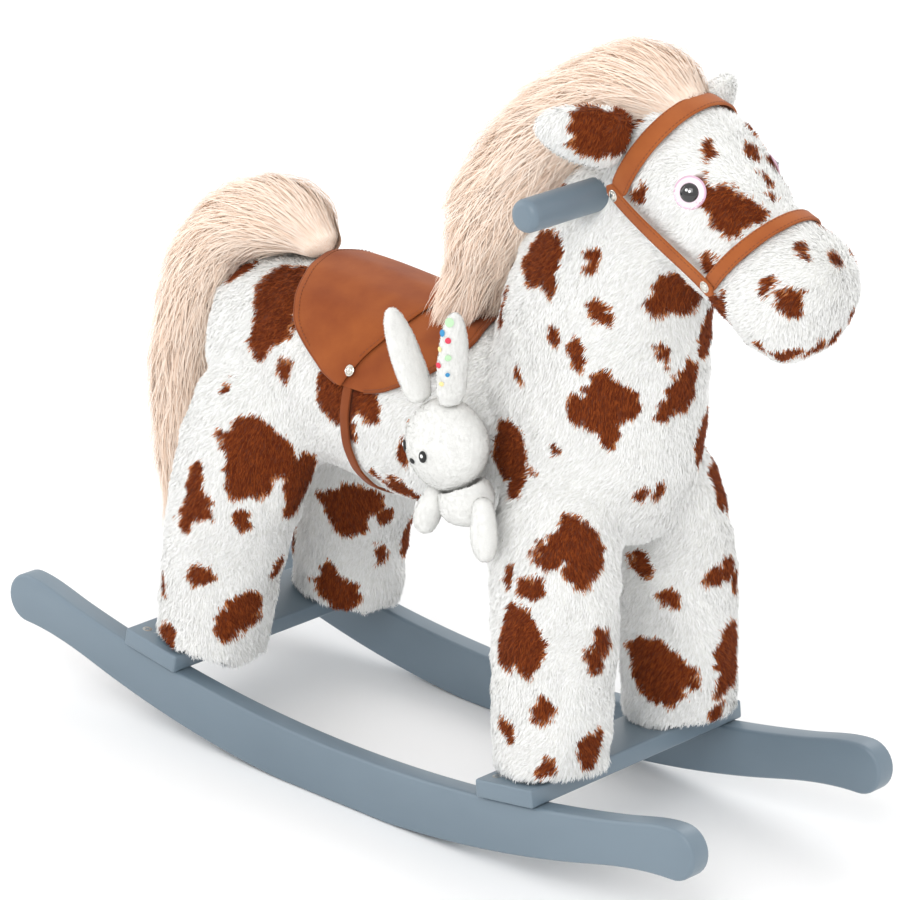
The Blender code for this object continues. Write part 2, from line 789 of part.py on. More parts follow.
def build_bridle(head, ears, mane, neck):
    """Crown strap and noseband over the head, with a cheek strap riveted over both each side."""
    low, thick = STRAP_LIFT, STRAP_THICKNESS
    over = low + thick + GAP
    crown_region = slab("crown_region", strip(*CROWN_STRAP, CROWN_WIDTH), 0.12)
    crown = skin("bridle_crown", HEAD, crown_region, low, low + thick, SUEDE)
    nose_region = slab("nose_region", strip(*NOSE_STRAP, NOSE_WIDTH), 0.12)
    noseband = skin("bridle_noseband", HEAD, nose_region, low, low + thick, SUEDE)
    crown_room = soft_form("crown_room", HEAD, grow=over + thick + GAP)
    keep(crown_room, slab("crown_zone", strip(*CROWN_STRAP, CROWN_WIDTH + 0.002), 0.12))
    for piece in (*ears.values(), mane, neck):
        cut(piece, [crown_room])
    for side, sign in SIDES.items():
        near, far = sorted((sign * 0.020, sign * 0.120))
        region = prism("cheek_region_" + side, strip(*CHEEK_STRAP, CHEEK_WIDTH), near, far)
        cheek = skin("bridle_cheek_" + side, HEAD, region, over, over + thick, SUEDE)
        cheek_room = soft_form("cheek_room_" + side, HEAD, grow=over + thick + GAP)
        zone = strip(*CHEEK_STRAP, CHEEK_WIDTH + 0.001, ends=0.001)
        keep(cheek_room, prism("cheek_zone_" + side, zone, near, far))
        for piece in (*ears.values(), neck):
            cut(piece, [cheek_room])
        ends = (("upper", UPPER_RIVET, crown), ("lower", LOWER_RIVET, noseband))
        for level, (x, z), under in ends:
            inward = (0, -sign, 0)
            place, normal = surface_point(HEAD, (x, sign * 0.2, z), inward, over + thick)
            name = f"bridle_rivet_{level}_{side}"
            fastener(name, rivet_profile(), place, normal, [cheek, under, head, neck])


def build_eyes(head):
    """Safety eyes: a black dome with a stem through the plush, held by a washer inside."""
    dome = 0.0072
    lift = 0.0006
    stem, stem_length = 0.0022, 0.019
    cap = [
        (dome * math.sin(math.radians(a)), dome * 0.62 * math.cos(math.radians(a)))
        for a in (0, 22, 45, 68, 90)
    ]
    washer_radius, washer_top, washer_bottom = 0.0085, -0.0105, -0.0123
    bore = stem + HOLE_GAP
    ring = [
        (bore, washer_top),
        (washer_radius, washer_top),
        (washer_radius, washer_bottom),
        (bore, washer_bottom),
        (bore, washer_top),
    ]
    pocket = [
        (0, dome),
        (bore, dome),
        (bore, washer_top + HOLE_GAP),
        (washer_radius + HOLE_GAP, washer_top + HOLE_GAP),
        (washer_radius + HOLE_GAP, washer_bottom - HOLE_GAP),
        (bore, washer_bottom - HOLE_GAP),
        (bore, -stem_length - HOLE_GAP),
        (0, -stem_length - HOLE_GAP),
    ]
    for side, sign in SIDES.items():
        start, inward = (EYE[0], sign * 0.2, EYE[1]), (0, -sign, -0.05)
        place, normal = surface_point(HEAD, start, inward, lift)
        stem_profile = [(stem, 0), (stem, -stem_length), (0, -stem_length)]
        stand(turned("eye_" + side, cap + stem_profile, BLACK_PLASTIC, 14), place, normal)
        stand(turned("eye_washer_" + side, ring, STEEL, 12), place, normal)
        hollow = turned("eye_pocket_" + side, pocket, steps=12)
        stand(hollow, place, normal)
        cut(head, [hollow])


# ---------------------------------------------------------------- bunny soft toy
def build_bunny(rooms, saddle_room):
    """The soft toy that sits against the flank ahead of the saddle, held by a sewn patch."""
    centre = Vector(BUNNY_HEAD_CENTRE)
    radius = BUNNY_HEAD_RADIUS
    steps = (-0.97, -0.80, -0.42, 0.0, 0.42, 0.80, 0.97)
    rings = [
        (
            centre.x,
            centre.y,
            centre.z + radius * s,
            radius * math.sqrt(1 - s * s) * BUNNY_HEAD_SQUASH,
            radius * math.sqrt(1 - s * s),
        )
        for s in steps
    ]
    leg_room = soft_form("bunny_leg_room", mirrored(LEGS["front"]), grow=SOFT_GAP)
    clear = [rooms["torso"], rooms["neck"], leg_room]
    head = soft_form("bunny_head", rings, SHORT_PLUSH)
    body = soft_form("bunny_body", BUNNY_BODY, SHORT_PLUSH)
    head_room = soft_form("bunny_head_room", rings, grow=GAP)
    cut(head, clear + [saddle_room])
    cut(body, clear + [head_room])
    pieces = [head, body]
    face = Vector(BUNNY_FACE).normalized()
    sideways = face.cross(Vector((0, 0, 1)))
    for side, path in BUNNY_EARS.items():
        ear = soft_form("bunny_ear_" + side, path, SHORT_PLUSH, sideways=-face)
        cut(ear, [head_room, saddle_room])
        pieces.append(ear)
    eye = [(0, 0.0016), (0.0026, 0.0010), (0.0036, 0), (0.0012, 0), (0.0012, -0.006), (0, -0.006)]
    for side, turn in (("right", 1), ("left", -1)):
        drop = Vector((0, 0, -BUNNY_EYE_DROP))
        look = (face + sideways * BUNNY_EYE_SPREAD * turn + drop).normalized()
        place, normal = surface_point(rings, centre + look * 0.1, -look, 0.0004)
        fastener("bunny_eye_" + side, eye, place, normal, [head], BLACK_PLASTIC)
        pieces.append(bpy.data.objects["bunny_eye_" + side])
    nose = (face + Vector((0, 0, -BUNNY_NOSE_DROP))).normalized()
    place, normal = surface_point(rings, centre + nose * 0.1, -nose, 0.0004)
    fastener("bunny_nose", eye, place, normal, [head], BLACK_PLASTIC)
    pieces.append(bpy.data.objects["bunny_nose"])
    hang_on(add_empty("bunny_patch", BUNNY_PATCH, HORSE_FRAME), pieces)


def main():
    rails = build_rockers()
    boards = build_footboards()
    screw_boards_to_rockers(boards, rails)
    posts, channels = build_posts(boards)
    spine, spine_room = build_spine(posts)
    neck_post, neck_channel = build_neck_post(spine)
    handle_bore = build_handle(neck_post)
    torso, neck, head, rooms = build_body(channels, spine_room, neck_channel, handle_bore)
    ears = build_ears(rooms["head"], handle_bore)
    mane = build_mane(rooms, handle_bore)
    build_tail()
    saddle_room = build_saddle(mane, torso, neck)
    build_girth()
    build_bridle(head, ears, mane, neck)
    build_eyes(head)
    build_bunny(rooms, saddle_room)


main()
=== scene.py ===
"""Looks of the plush rocking horse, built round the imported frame.

The stuffed body is one smooth skin with a short combed pile, made of tapered blades. The mane
and tail are long strands that flow along their cores. Saddle, bridle, eyes, rivets, bunny and
painted wood are each built over the frame's solids. Metres, in the frame's own axes.
"""

import math

import bmesh
import bpy
import numpy as np
from mathutils import Matrix, Vector
from mathutils.bvhtree import BVHTree


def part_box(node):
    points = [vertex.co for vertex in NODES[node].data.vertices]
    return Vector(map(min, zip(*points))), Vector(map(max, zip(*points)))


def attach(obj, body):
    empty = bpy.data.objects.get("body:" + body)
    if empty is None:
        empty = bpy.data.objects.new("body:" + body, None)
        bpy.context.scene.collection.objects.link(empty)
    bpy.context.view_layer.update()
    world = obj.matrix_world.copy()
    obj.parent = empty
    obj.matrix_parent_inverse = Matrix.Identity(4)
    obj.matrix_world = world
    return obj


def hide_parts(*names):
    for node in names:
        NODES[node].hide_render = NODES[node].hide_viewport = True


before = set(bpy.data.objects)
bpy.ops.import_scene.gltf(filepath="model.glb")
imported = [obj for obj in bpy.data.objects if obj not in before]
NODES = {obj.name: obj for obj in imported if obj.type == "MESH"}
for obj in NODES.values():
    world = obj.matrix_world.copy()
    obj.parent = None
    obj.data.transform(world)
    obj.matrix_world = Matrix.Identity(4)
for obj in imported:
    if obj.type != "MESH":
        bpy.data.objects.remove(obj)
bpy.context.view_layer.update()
SIDES = {"right": -1, "left": 1}
ENDS = ("rear", "front")

# ---------------------------------------------------------------- places and sizes
SHIFT_X = -0.0066  # the frame's origin is this far ahead of the middle of the rockers

CAMERA_AZIMUTH, CAMERA_ELEVATION, CAMERA_ROLL = 41.2, 20.4, 2.08
CAMERA_DISTANCE = 4.0
CAMERA_TARGET = Vector((-0.0009, 0, 0.2682))
CAMERA_LENS = 201.5

ROCKER_LENGTH, ROCKER_THICKNESS, ROCKER_DEPTH = 0.740, 0.020, 0.046
ROCKER_OUTER_Y = 0.124
ROCKER_BOTTOM_RADIUS, ROCKER_TOP_RADIUS = 1.000, 1.300
ROCKER_FLAT_HALF = 0.060
ROCKER_TIP_RADIUS, ROCKER_TIP_Z = 0.021, 0.0700
BOARD_WIDTH, BOARD_LENGTH, BOARD_THICKNESS, BOARD_LIFT = 0.058, 0.256, 0.015, 0.0008
BOARD_X = {"rear": -0.201, "front": 0.186}
HANDLE_X, HANDLE_Z, HANDLE_RADIUS, HANDLE_HALF = 0.183, 0.533, 0.013, 0.132

PILE = 0.0034  # how far the skin lies under the outer shape, for the pile to fill
BLADE_LENGTH = 0.0058
BLADE_WIDTH = 0.00085
EAR_BLADE_LENGTH = 0.0060
BLADE_DENSITY = 800000  # per square metre
RUST_SHARE = 0.42  # of the blades on a patch's edge
HEAD_START = (0.20, 0.45)  # ahead of and above this (x, z), the pile is combed as on a head
SOLE_Z = 0.070  # lower than this, what faces down stands on a footboard
LONG_WIDTH = 0.00068
LONG_COUNT = 78000
LONG_CAP = 0.014  # how far the tuft rounds out ahead of its first ring

TORSO_AXIS_Z = 0.310
STRAP_THICKNESS = 0.0019
UPPER_RIVET = (0.2096, 0.541)
LOWER_RIVET = (0.2950, 0.4895)
EYE = (0.2725, 0.5630)
SADDLE_STUD_X, SADDLE_STUD_ANGLE = -0.0292, 66.5


def metres(*rows):
    """Rows of numbers given in millimetres."""
    return [tuple(value / 1000 for value in row) for row in rows]


# Half outline of the saddle on the torso: (angle from the top in degrees, x of the edge).
SADDLE_REAR_EDGE = [(0, -0.136), (12, -0.133), (30, -0.125), (43, -0.116), (52, -0.106)]
SADDLE_REAR_EDGE += [(60, -0.090), (67, -0.072), (72, -0.058), (75, -0.044)]
SADDLE_FRONT_EDGE = [(0, 0.042), (12, 0.047), (25, 0.052), (38, 0.050), (50, 0.040)]
SADDLE_FRONT_EDGE += [(60, 0.026), (67, 0.010), (72, -0.004), (75, -0.020)]
SEAT_FRONT_EDGE = [(0, -0.004), (15, -0.007), (35, -0.013), (50, -0.022), (62, -0.031)]
SEAT_FRONT_EDGE += [(69, -0.036), (75, -0.040)]

SADDLE_LIMIT = SADDLE_REAR_EDGE[-1][0]

# Brown patches of the plush in millimetres: (x, y, z, radius).
HEAD_PATCHES = metres(
    (272, -43, 565, 6.5), (280, -42, 556, 8), (293, -37, 546, 14), (300, -39, 537, 9),
    (306, -28, 545, 9.5), (314, -19, 544, 6.5), (287, -50, 509, 8), (293, -46, 480, 9.5),
    (288, -38, 467, 13), (282, -30, 456, 9.5), (221, -57, 551, 8), (262, -27, 588, 7),
    (268, -30, 582, 5.5), (283, 10, 579, 8), (298, 6, 568, 5), (306, -2, 557, 5.5), (344, -48, 508, 6),
    (342, -50, 500, 5), (360, -42, 494, 9), (357, -19, 527, 5), (369, 5, 518, 6.5), (332, 28, 530, 7),
    (334, -39, 446, 6.5), (350, -27, 441, 9), (361, -6, 444, 9), (364, 14, 450, 8),
    (366, 30, 466, 6.5), (230, 50, 520, 14), (262, 30, 592, 7), (320, 50, 470, 9.5),
    (203, -38, 594, 8),
)
NECK_PATCHES = metres(
    (128, -61, 474, 17), (143, -65, 478, 16), (150, -70, 462, 9.5), (136, -62, 492, 9.5),
    (128, -50, 520, 14), (236, -26, 467, 14), (241, -10, 460, 15), (232, -36, 458, 9.5),
    (185, -63, 494, 7), (183, -66, 484, 5), (198, -63, 450, 8), (205, -60, 445, 5.5),
    (163, -74, 424, 6.5), (184, -71, 415, 9), (233, -31, 418, 6.5), (232, -30, 408, 5),
    (132, -77, 383, 5.5), (88, -55, 415, 9.5), (90, -56, 432, 7), (204, -64, 382, 19),
    (194, -69, 374, 14), (217, -54, 381, 14), (210, -59, 357, 14), (240, -12, 384, 15),
    (240, -2, 398, 9.5), (235, -26, 368, 9.5), (125, -80, 322, 21), (140, -80, 305, 14),
    (175, -77, 332, 5.5), (232, -20, 306, 6.5), (228, -36, 300, 5.5), (245, 30, 420, 18),
    (236, 42, 330, 20), (90, 62, 470, 18), (170, 72, 470, 13),
)
TORSO_PATCHES = metres(
    (-138, -58, 373, 24), (-150, -48, 384, 21), (-132, -40, 392, 17), (-122, -70, 358, 15),
    (-140, -75, 348, 13), (-53, -86, 320, 15), (-34, -86, 319, 15), (-16, -85, 323, 12),
    (-30, -89, 300, 10), (-66, -86, 330, 9), (-105, -85, 326, 8), (14, -60, 247, 13),
    (-2, -62, 251, 12), (31, -58, 245, 11), (-20, -68, 259, 7), (22, -85, 296, 8), (35, -87, 310, 6),
    (-205, -30, 372, 12), (-190, 30, 380, 18), (-225, 0, 330, 20), (-80, 0, 232, 20),
    (60, 20, 232, 18),
)
REAR_LEG_PATCHES = metres(
    (-119, -103, 262, 22), (-124, -106, 243, 21), (-102, -90, 256, 15), (-138, -104, 270, 13),
    (-166, -122, 212, 17), (-172, -120, 200, 14), (-164, -118, 226, 12), (-96, -68, 230, 17),
    (-103, -70, 214, 14), (-94, -66, 246, 12), (-132, -94, 116, 15), (-142, -104, 106, 13),
    (-120, -106, 200, 8), (-156, -124, 150, 9), (-190, -128, 92, 10), (-200, -122, 130, 8),
    (-120, -66, 150, 8), (-158, -94, 303, 7), (-212, -80, 230, 16), (-222, -75, 115, 12),
    (-142, 34, 168, 22), (-128, 46, 176, 14), (-162, 36, 100, 14), (-148, 40, 88, 13),
    (-130, 60, 126, 8), (-218, 70, 180, 18), (-214, -56, 215, 16), (-206, -46, 120, 18),
    (-150, -34, 150, 16), (-222, 88, 90, 14), (-200, 120, 210, 14),
)
FRONT_LEG_PATCHES = metres(
    (206, -94, 276, 18), (222, -84, 268, 18), (196, -102, 264, 14), (216, -88, 248, 12),
    (176, -118, 200, 18), (190, -118, 186, 17), (166, -120, 184, 12), (228, -84, 108, 12),
    (226, -76, 198, 10), (226, -86, 182, 9), (186, -114, 236, 8), (206, -120, 140, 9),
    (172, -124, 116, 8), (210, -116, 94, 7), (158, -115, 240, 8), (188, 30, 130, 20),
    (206, 36, 122, 18), (176, 32, 142, 14), (228, 78, 146, 18), (232, 74, 124, 14), (182, 24, 216, 11),
    (200, 34, 192, 8), (224, 62, 206, 8), (222, 68, 96, 8), (150, 110, 200, 20), (142, -78, 160, 17),
    (148, -60, 226, 15), (150, -62, 100, 14), (146, 82, 130, 18), (142, 60, 232, 13),
)
EAR_PATCHES = metres((192, -74, 592, 17), (203, -60, 596, 15))
MIRROR_BEYOND_Y = 0.036  # patches further out than this repeat, moved a little, on the left
MIRROR_SLIDE = (0.012, 0.0, 0.014)


# ---------------------------------------------------------------- materials
def linear(code):
    """The linear RGBA of a #RRGGBB colour."""
    parts = [int(code[i : i + 2], 16) / 255 for i in (1, 3, 5)]
    return (*[c / 12.92 if c < 0.04045 else ((c + 0.055) / 1.055) ** 2.4 for c in parts], 1.0)


def plain(name, colour, roughness, **inputs):
    """A Principled material, with further sockets given as words joined by underscores."""
    material = bpy.data.materials.new(name)
    material.use_nodes = True
    shader = material.node_tree.nodes["Principled BSDF"]
    shader.inputs["Base Color"].default_value = linear(colour)
    shader.inputs["Roughness"].default_value = roughness
    for words, value in inputs.items():
        shader.inputs[words.replace("_", " ")].default_value = value
    return material


def fibres(name, *colours):
    """A material for each colour of a fur's fibres: rough, with hardly any shine."""
    names = [f"{name}_{letter}" for letter in "abc"]
    return [plain(*pair, 0.9, Specular_IOR_Level=0.2) for pair in zip(names, colours)]


def noise_in(material, scale, detail, stretch=(1, 1, 1)):
    """A noise texture over the object's own coordinates."""
    tree = material.node_tree
    place = tree.nodes.new("ShaderNodeTexCoord")
    mapping = tree.nodes.new("ShaderNodeMapping")
    mapping.inputs["Scale"].default_value = stretch
    noise = tree.nodes.new("ShaderNodeTexNoise")
    noise.inputs["Scale"].default_value = scale
    noise.inputs["Detail"].default_value = detail
    tree.links.new(place.outputs["Object"], mapping.inputs["Vector"])
    tree.links.new(mapping.outputs["Vector"], noise.inputs["Vector"])
    return noise


def blend_colours(material, factor, low, high):
    """Links the shader's colour to a mix of two colours."""
    tree = material.node_tree
    mix = tree.nodes.new("ShaderNodeMix")
    mix.data_type = "RGBA"
    mix.inputs["A"].default_value = linear(low)
    mix.inputs["B"].default_value = linear(high)
    tree.links.new(factor, mix.inputs["Factor"])
    shader = tree.nodes["Principled BSDF"]
    tree.links.new(mix.outputs["Result"], shader.inputs["Base Color"])


def contrast(material, value, low, high):
    """The value, steepened to run from 0 at low to 1 at high."""
    tree = material.node_tree
    ramp = tree.nodes.new("ShaderNodeMapRange")
    ramp.inputs["From Min"].default_value = low
    ramp.inputs["From Max"].default_value = high
    tree.links.new(value, ramp.inputs["Value"])
    return ramp.outputs["Result"]


def roughen(material, height, strength, distance):
    tree = material.node_tree
    bump = tree.nodes.new("ShaderNodeBump")
    bump.inputs["Strength"].default_value = strength
    bump.inputs["Distance"].default_value = distance
    tree.links.new(height, bump.inputs["Height"])
    tree.links.new(bump.outputs["Normal"], tree.nodes["Principled BSDF"].inputs["Normal"])


def cloudy(name, tones, roughness, cloud, spread, **inputs):
    """A material that drifts between two tones. cloud says its noise, spread its contrast."""
    material = plain(name, tones[0], roughness, **inputs)
    share = contrast(material, noise_in(material, *cloud).outputs["Fac"], 0.5 - spread, 0.5 + spread)
    blend_colours(material, share, *tones)
    return material


def paint_material():
    """Satin grey-blue paint, brushed along the wood, a little lighter where it is thin."""
    tones, cloud = ("#687884", "#71818D"), (9, 3, (0.5, 1, 1))
    material = cloudy("grey_blue_paint", tones, 0.42, cloud, 0.15, Coat_Weight=0.15, Coat_Roughness=0.3)
    brush = noise_in(material, 420, 2, (0.06, 1, 1))
    roughen(material, brush.outputs["Fac"], 0.25, 0.0002)
    return material


def suede_material(name, *tones):
    """Brushed brown suede cloth: cloudy tone, fine nap."""
    finish = {"Sheen_Weight": 0.1, "Specular_IOR_Level": 0.25}
    material = cloudy(name, tones, 0.85, (28, 4), 0.18, **finish)
    nap = noise_in(material, 900, 3)
    roughen(material, nap.outputs["Fac"], 0.35, 0.0003)
    return material


def skin_material():
    """The knitted backing under the pile, brown where the patches are."""
    material = plain("plush_backing", "#F1F1EE", 0.95)
    tree = material.node_tree
    patch = tree.nodes.new("ShaderNodeAttribute")
    patch.attribute_name = "brown"
    blend_colours(material, patch.outputs["Fac"], "#EFEFEB", "#6B3013")
    knit = noise_in(material, 700, 2)
    roughen(material, knit.outputs["Fac"], 0.4, 0.0006)
    return material


def velour_material(name, *tones):
    """Very short pile, as on the bunny."""
    finish = {"Sheen_Weight": 0.35, "Sheen_Roughness": 0.5}
    material = cloudy(name, tones, 0.85, (130, 4), 0.2, **finish)
    pile = noise_in(material, 1300, 2)
    roughen(material, pile.outputs["Fac"], 0.55, 0.0006)
    return material


PAINT = paint_material()
PINE = cloudy("pine", ("#B98C58", "#DDB988"), 0.6, (60, 4, (1, 1, 0.08)), 0.2)
SUEDE = suede_material("brown_suede", "#985026", "#A85E2E")
# Painted shade: the saddle's suede is a darker copy of the straps' suede, to offset the light on its
# upward-facing top.
PAINTED_SHADE_SEAT_SUEDE = suede_material("seat_suede_painted_shade", "#843F19", "#985022")
SUEDE_EDGE = suede_material("brown_suede_edge", "#7A3B17", "#88451F")
BACKING = skin_material()
VELOUR = velour_material("bunny_velour", "#E6E6E3", "#ECECE9")
VELOUR_PILE = fibres("velour_pile", "#EEEEEB", "#E9E9E6")
LONG_CORE = velour_material("long_fur_core", "#F4E0CF", "#FAEADC")
THREAD = plain("brown_thread", "#7A3F20", 0.7)
STEEL = plain("zinc_steel", "#B9B8B4", 0.38, Metallic=1.0)
NICKEL = plain("nickel", "#D9D5CC", 0.24, Metallic=1.0)
EYE_BLACK = plain("eye_black", "#0B0A0B", 0.06, Coat_Weight=1.0, Coat_Roughness=0.02)
EYE_RING = plain("eye_ring", "#F2DDE8", 0.22, Coat_Weight=0.8, Coat_Roughness=0.05)
EYE_RIM = plain("eye_rim", "#D9B3C8", 0.3, Coat_Weight=0.5)
BLACK_FLOSS = plain("black_floss", "#121212", 0.55)
# White of the painted highlights on the horse's and the bunny's eyes.
PAINTED_GLINT_WHITE = plain("painted_glint_white", "#FBFBFB", 0.5)
WHITE_PILE = fibres("white_pile", "#FDFDFC", "#F8F8F6", "#F1F1EE")
BROWN_PILE = fibres("brown_pile", "#773412", "#8A4118", "#63270B")
RUST_PILE = plain("rust_pile", "#BC7748", 0.9, Specular_IOR_Level=0.2)
LONG_PILE = fibres("peach_fur", "#FBEADB", "#F7E2D0", "#F0D7C2")
DOT_COLOURS = {"blue": "#3D8FC0", "red": "#D9445A", "green": "#B9DDB4", "yellow": "#F0DC9A"}
DOTS = {tone: plain("dot_" + tone, colour, 0.8) for tone, colour in DOT_COLOURS.items()}


# ---------------------------------------------------------------- mesh helpers
def new_object(name, mesh, materials=()):
    obj = bpy.data.objects.new(name, mesh)
    bpy.context.scene.collection.objects.link(obj)
    for material in materials:
        mesh.materials.append(material)
    return obj


def baked(obj):
    """Applies the object's modifiers."""
    graph = bpy.context.evaluated_depsgraph_get()
    graph.update()
    mesh = bpy.data.meshes.new_from_object(obj.evaluated_get(graph))
    obj.modifiers.clear()
    old, obj.data = obj.data, mesh
    bpy.data.meshes.remove(old)
    return obj


def finish_piece(obj, body, slot, *nodes):
    """Says which body the piece rides on and hides the frame's nodes it stands for. slot, its finish,
    is not used.
    """
    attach(obj, body)
    if nodes:
        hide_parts(*nodes)
    return obj


def from_bmesh(name, bm, materials=(), smooth=True):
    bmesh.ops.recalc_face_normals(bm, faces=bm.faces)
    mesh = bpy.data.meshes.new(name)
    bm.to_mesh(mesh)
    bm.free()
    if smooth:
        mesh.shade_smooth()
    return new_object(name, mesh, materials)


def merged_solid(name, node_names, voxel, rounds, materials=(), plug=None):
    """The outer surface of several frame solids together, evened out. plug adds more solid."""
    bm = bmesh.new()
    for node in node_names:
        bm.from_mesh(NODES[node].data)
    if plug is not None:
        plug(bm)
    bmesh.ops.remove_doubles(bm, verts=bm.verts, dist=1e-6)
    mesh = bpy.data.meshes.new(name)
    bm.to_mesh(mesh)
    bm.free()
    obj = new_object(name, mesh, materials)
    remesh = obj.modifiers.new("even", "REMESH")
    remesh.mode = "VOXEL"
    remesh.voxel_size = voxel
    relax = obj.modifiers.new("relax", "SMOOTH")
    relax.factor = 0.5
    relax.iterations = rounds
    baked(obj)
    obj.data.shade_smooth()
    return obj


def vectors_of(mesh, what):
    """The vertices' "co" or "normal", one row each."""
    values = np.empty(len(mesh.vertices) * 3, np.float32)
    mesh.vertices.foreach_get(what, values)
    return values.reshape(-1, 3).astype(float)


def set_coordinates(mesh, points):
    mesh.vertices.foreach_set("co", points.astype(np.float32).ravel())
    mesh.update()


def tree_of(obj):
    graph = bpy.context.evaluated_depsgraph_get()
    return BVHTree.FromObject(obj, graph)


def unit(vectors):
    return vectors / np.maximum(np.linalg.norm(vectors, axis=-1, keepdims=True), 1e-9)


def each_row(vectors):
    """One vector for each of a blade's three rows."""
    return np.repeat(vectors[:, None, :], 3, axis=1)


def distances(points):
    """How far along the line each point lies."""
    return np.concatenate([[0], np.cumsum(np.linalg.norm(np.diff(points, axis=0), axis=1))])


def sampled(marks, reach, rows):
    """The rows as they are at some distances along a line."""
    return np.stack([np.interp(marks, reach, column) for column in rows.T], axis=-1)


def relaxed(rows, rounds):
    for _ in range(rounds):
        rows[1:-1] = rows[1:-1] * 0.5 + (rows[:-2] + rows[2:]) * 0.25
    return rows


def hermite(t, start, end, start_slope, end_slope, width):
    """A smooth value at share t of a span between two ends with known slopes."""
    level = (2 * t**3 - 3 * t**2 + 1) * start + (3 * t**2 - 2 * t**3) * end
    lean = (t**3 - 2 * t**2 + t) * start_slope + (t**3 - t**2) * end_slope
    return level + lean * width


def standing(place, direction):
    """The transform that moves a piece to a place and turns its +Z in a direction."""
    turn = Vector(direction).to_track_quat("Z", "Y").to_matrix().to_4x4()
    return Matrix.Translation(place) @ turn


def skin_rings(bm, rings):
    """Faces between rings of vertices, and one across each end."""
    sides = len(rings[0])
    for a, b in zip(rings, rings[1:]):
        for k in range(sides):
            n = (k + 1) % sides
            bm.faces.new((a[k], a[n], b[n], b[k]))
    bm.faces.new(rings[0])
    bm.faces.new(rings[-1])


def wander(points, wavelength, seed):
    """Smooth wandering offsets, about 1 long, from a few waves in seeded directions."""
    count, rng = 7, np.random.default_rng(seed)
    waves = unit(rng.normal(size=(count, 3))) * math.tau / wavelength
    waves *= rng.uniform(0.6, 1.5, (count, 1))
    phases = rng.uniform(0, math.tau, count)
    pushes = unit(rng.normal(size=(count, 3)))
    return np.sin(points @ waves.T + phases) @ pushes * 0.6


# ---------------------------------------------------------------- pile
def lay_patches(skin):
    """Every brown patch of the body, with its middle moved onto the skin."""
    listed = HEAD_PATCHES + NECK_PATCHES + TORSO_PATCHES + REAR_LEG_PATCHES + FRONT_LEG_PATCHES
    dx, dy, dz = MIRROR_SLIDE
    far = [(x - dx, -y + dy, z + dz, r) for x, y, z, r in listed if y < -MIRROR_BEYOND_Y]
    tree = tree_of(skin)
    return [(*tree.find_nearest(Vector(patch[:3]))[0], patch[3]) for patch in listed + far]


def brownness(points, patches):
    """How brown the plush is at each point, from 0 to 1, with ragged patch edges."""
    slimming, edge_width = 0.82, 0.003  # patches are taller than wide, with a soft edge
    places = points + wander(points, 0.042, 3) * 0.0036 + wander(points, 0.013, 4) * 0.0016
    depth = np.full(len(points), -1.0)
    for *middle, radius in patches:
        away = places - middle
        away[:, 2] *= slimming
        depth = np.maximum(depth, radius - np.linalg.norm(away, axis=1))
    return np.clip(depth / edge_width + 0.5, 0, 1)


def scatter(mesh, density, rng):
    """Random places on a mesh, with the smooth normal at each."""
    mesh.calc_loop_triangles()
    corners = np.empty(len(mesh.loop_triangles) * 3, np.int32)
    mesh.loop_triangles.foreach_get("vertices", corners)
    corners = corners.reshape(-1, 3)
    points, normals = vectors_of(mesh, "co"), vectors_of(mesh, "normal")
    a, b, c = (points[corners[:, k]] for k in range(3))
    areas = np.linalg.norm(np.cross(b - a, c - a), axis=1) / 2
    count = int(areas.sum() * density)
    chosen = rng.choice(len(areas), count, p=areas / areas.sum())
    u, v = np.sqrt(rng.random(count)), rng.random(count)
    shares = np.stack([1 - u, u * (1 - v), u * v], axis=1)[:, :, None]
    places = (points[corners[chosen]] * shares).sum(axis=1)
    directions = unit((normals[corners[chosen]] * shares).sum(axis=1))
    return places, directions


def ribbons(name, lines, sides, widths, tints, materials, faced):
    """Tapered ribbons that end in a point.

    lines is (count, rows, 3), sides the direction across each row, widths one per row, and
    tints the index of each ribbon's material. faced is the direction that each row is lit as
    facing, so that the pile shades like the soft surface it covers.
    """
    count, rows, _ = lines.shape
    half = sides * (widths[None, :, None] / 2)
    edges = np.stack([lines - half, lines + half], axis=2)[:, :-1].reshape(count, -1, 3)
    verts = np.concatenate([edges, lines[:, -1:]], axis=1)
    per = verts.shape[1]
    loop, starts = [], []
    for r in range(rows - 2):
        starts.append(len(loop))
        loop += [2 * r, 2 * r + 1, 2 * r + 3, 2 * r + 2]
    starts.append(len(loop))
    loop += [per - 3, per - 2, per - 1]
    offsets = np.arange(count)[:, None]
    mesh = bpy.data.meshes.new(name)
    mesh.vertices.add(count * per)
    mesh.vertices.foreach_set("co", verts.astype(np.float32).ravel())
    mesh.loops.add(count * len(loop))
    mesh.loops.foreach_set("vertex_index", (offsets * per + loop).astype(np.int32).ravel())
    mesh.polygons.add(count * len(starts))
    mesh.polygons.foreach_set("loop_start", (offsets * len(loop) + starts).astype(np.int32).ravel())
    mesh.polygons.foreach_set("material_index", np.repeat(tints, len(starts)).astype(np.int32))
    mesh.update(calc_edges=True)
    mesh.shade_smooth()
    lit = np.concatenate([np.repeat(faced[:, :-1], 2, axis=1), faced[:, -1:]], axis=1)
    lit_as = mesh.attributes.new("custom_normal", "FLOAT_VECTOR", "POINT")
    lit_as.data.foreach_set("vector", unit(lit).astype(np.float32).ravel())
    return new_object(name, mesh, materials)


def nap(points, normals, rng):
    """The way the pile is combed: back on the head and top, down on the flanks and legs."""
    flow = np.tile((-0.25, 0.0, -1.0), (len(points), 1))
    on_head = (points[:, 0] > HEAD_START[0]) & (points[:, 2] > HEAD_START[1])
    flow[on_head] = (-0.75, 0.0, -0.65)
    flow += wander(points, 0.09, 11) * 0.40 + rng.normal(size=points.shape) * 0.24
    along = flow - (flow * normals).sum(axis=1, keepdims=True) * normals
    return unit(along)


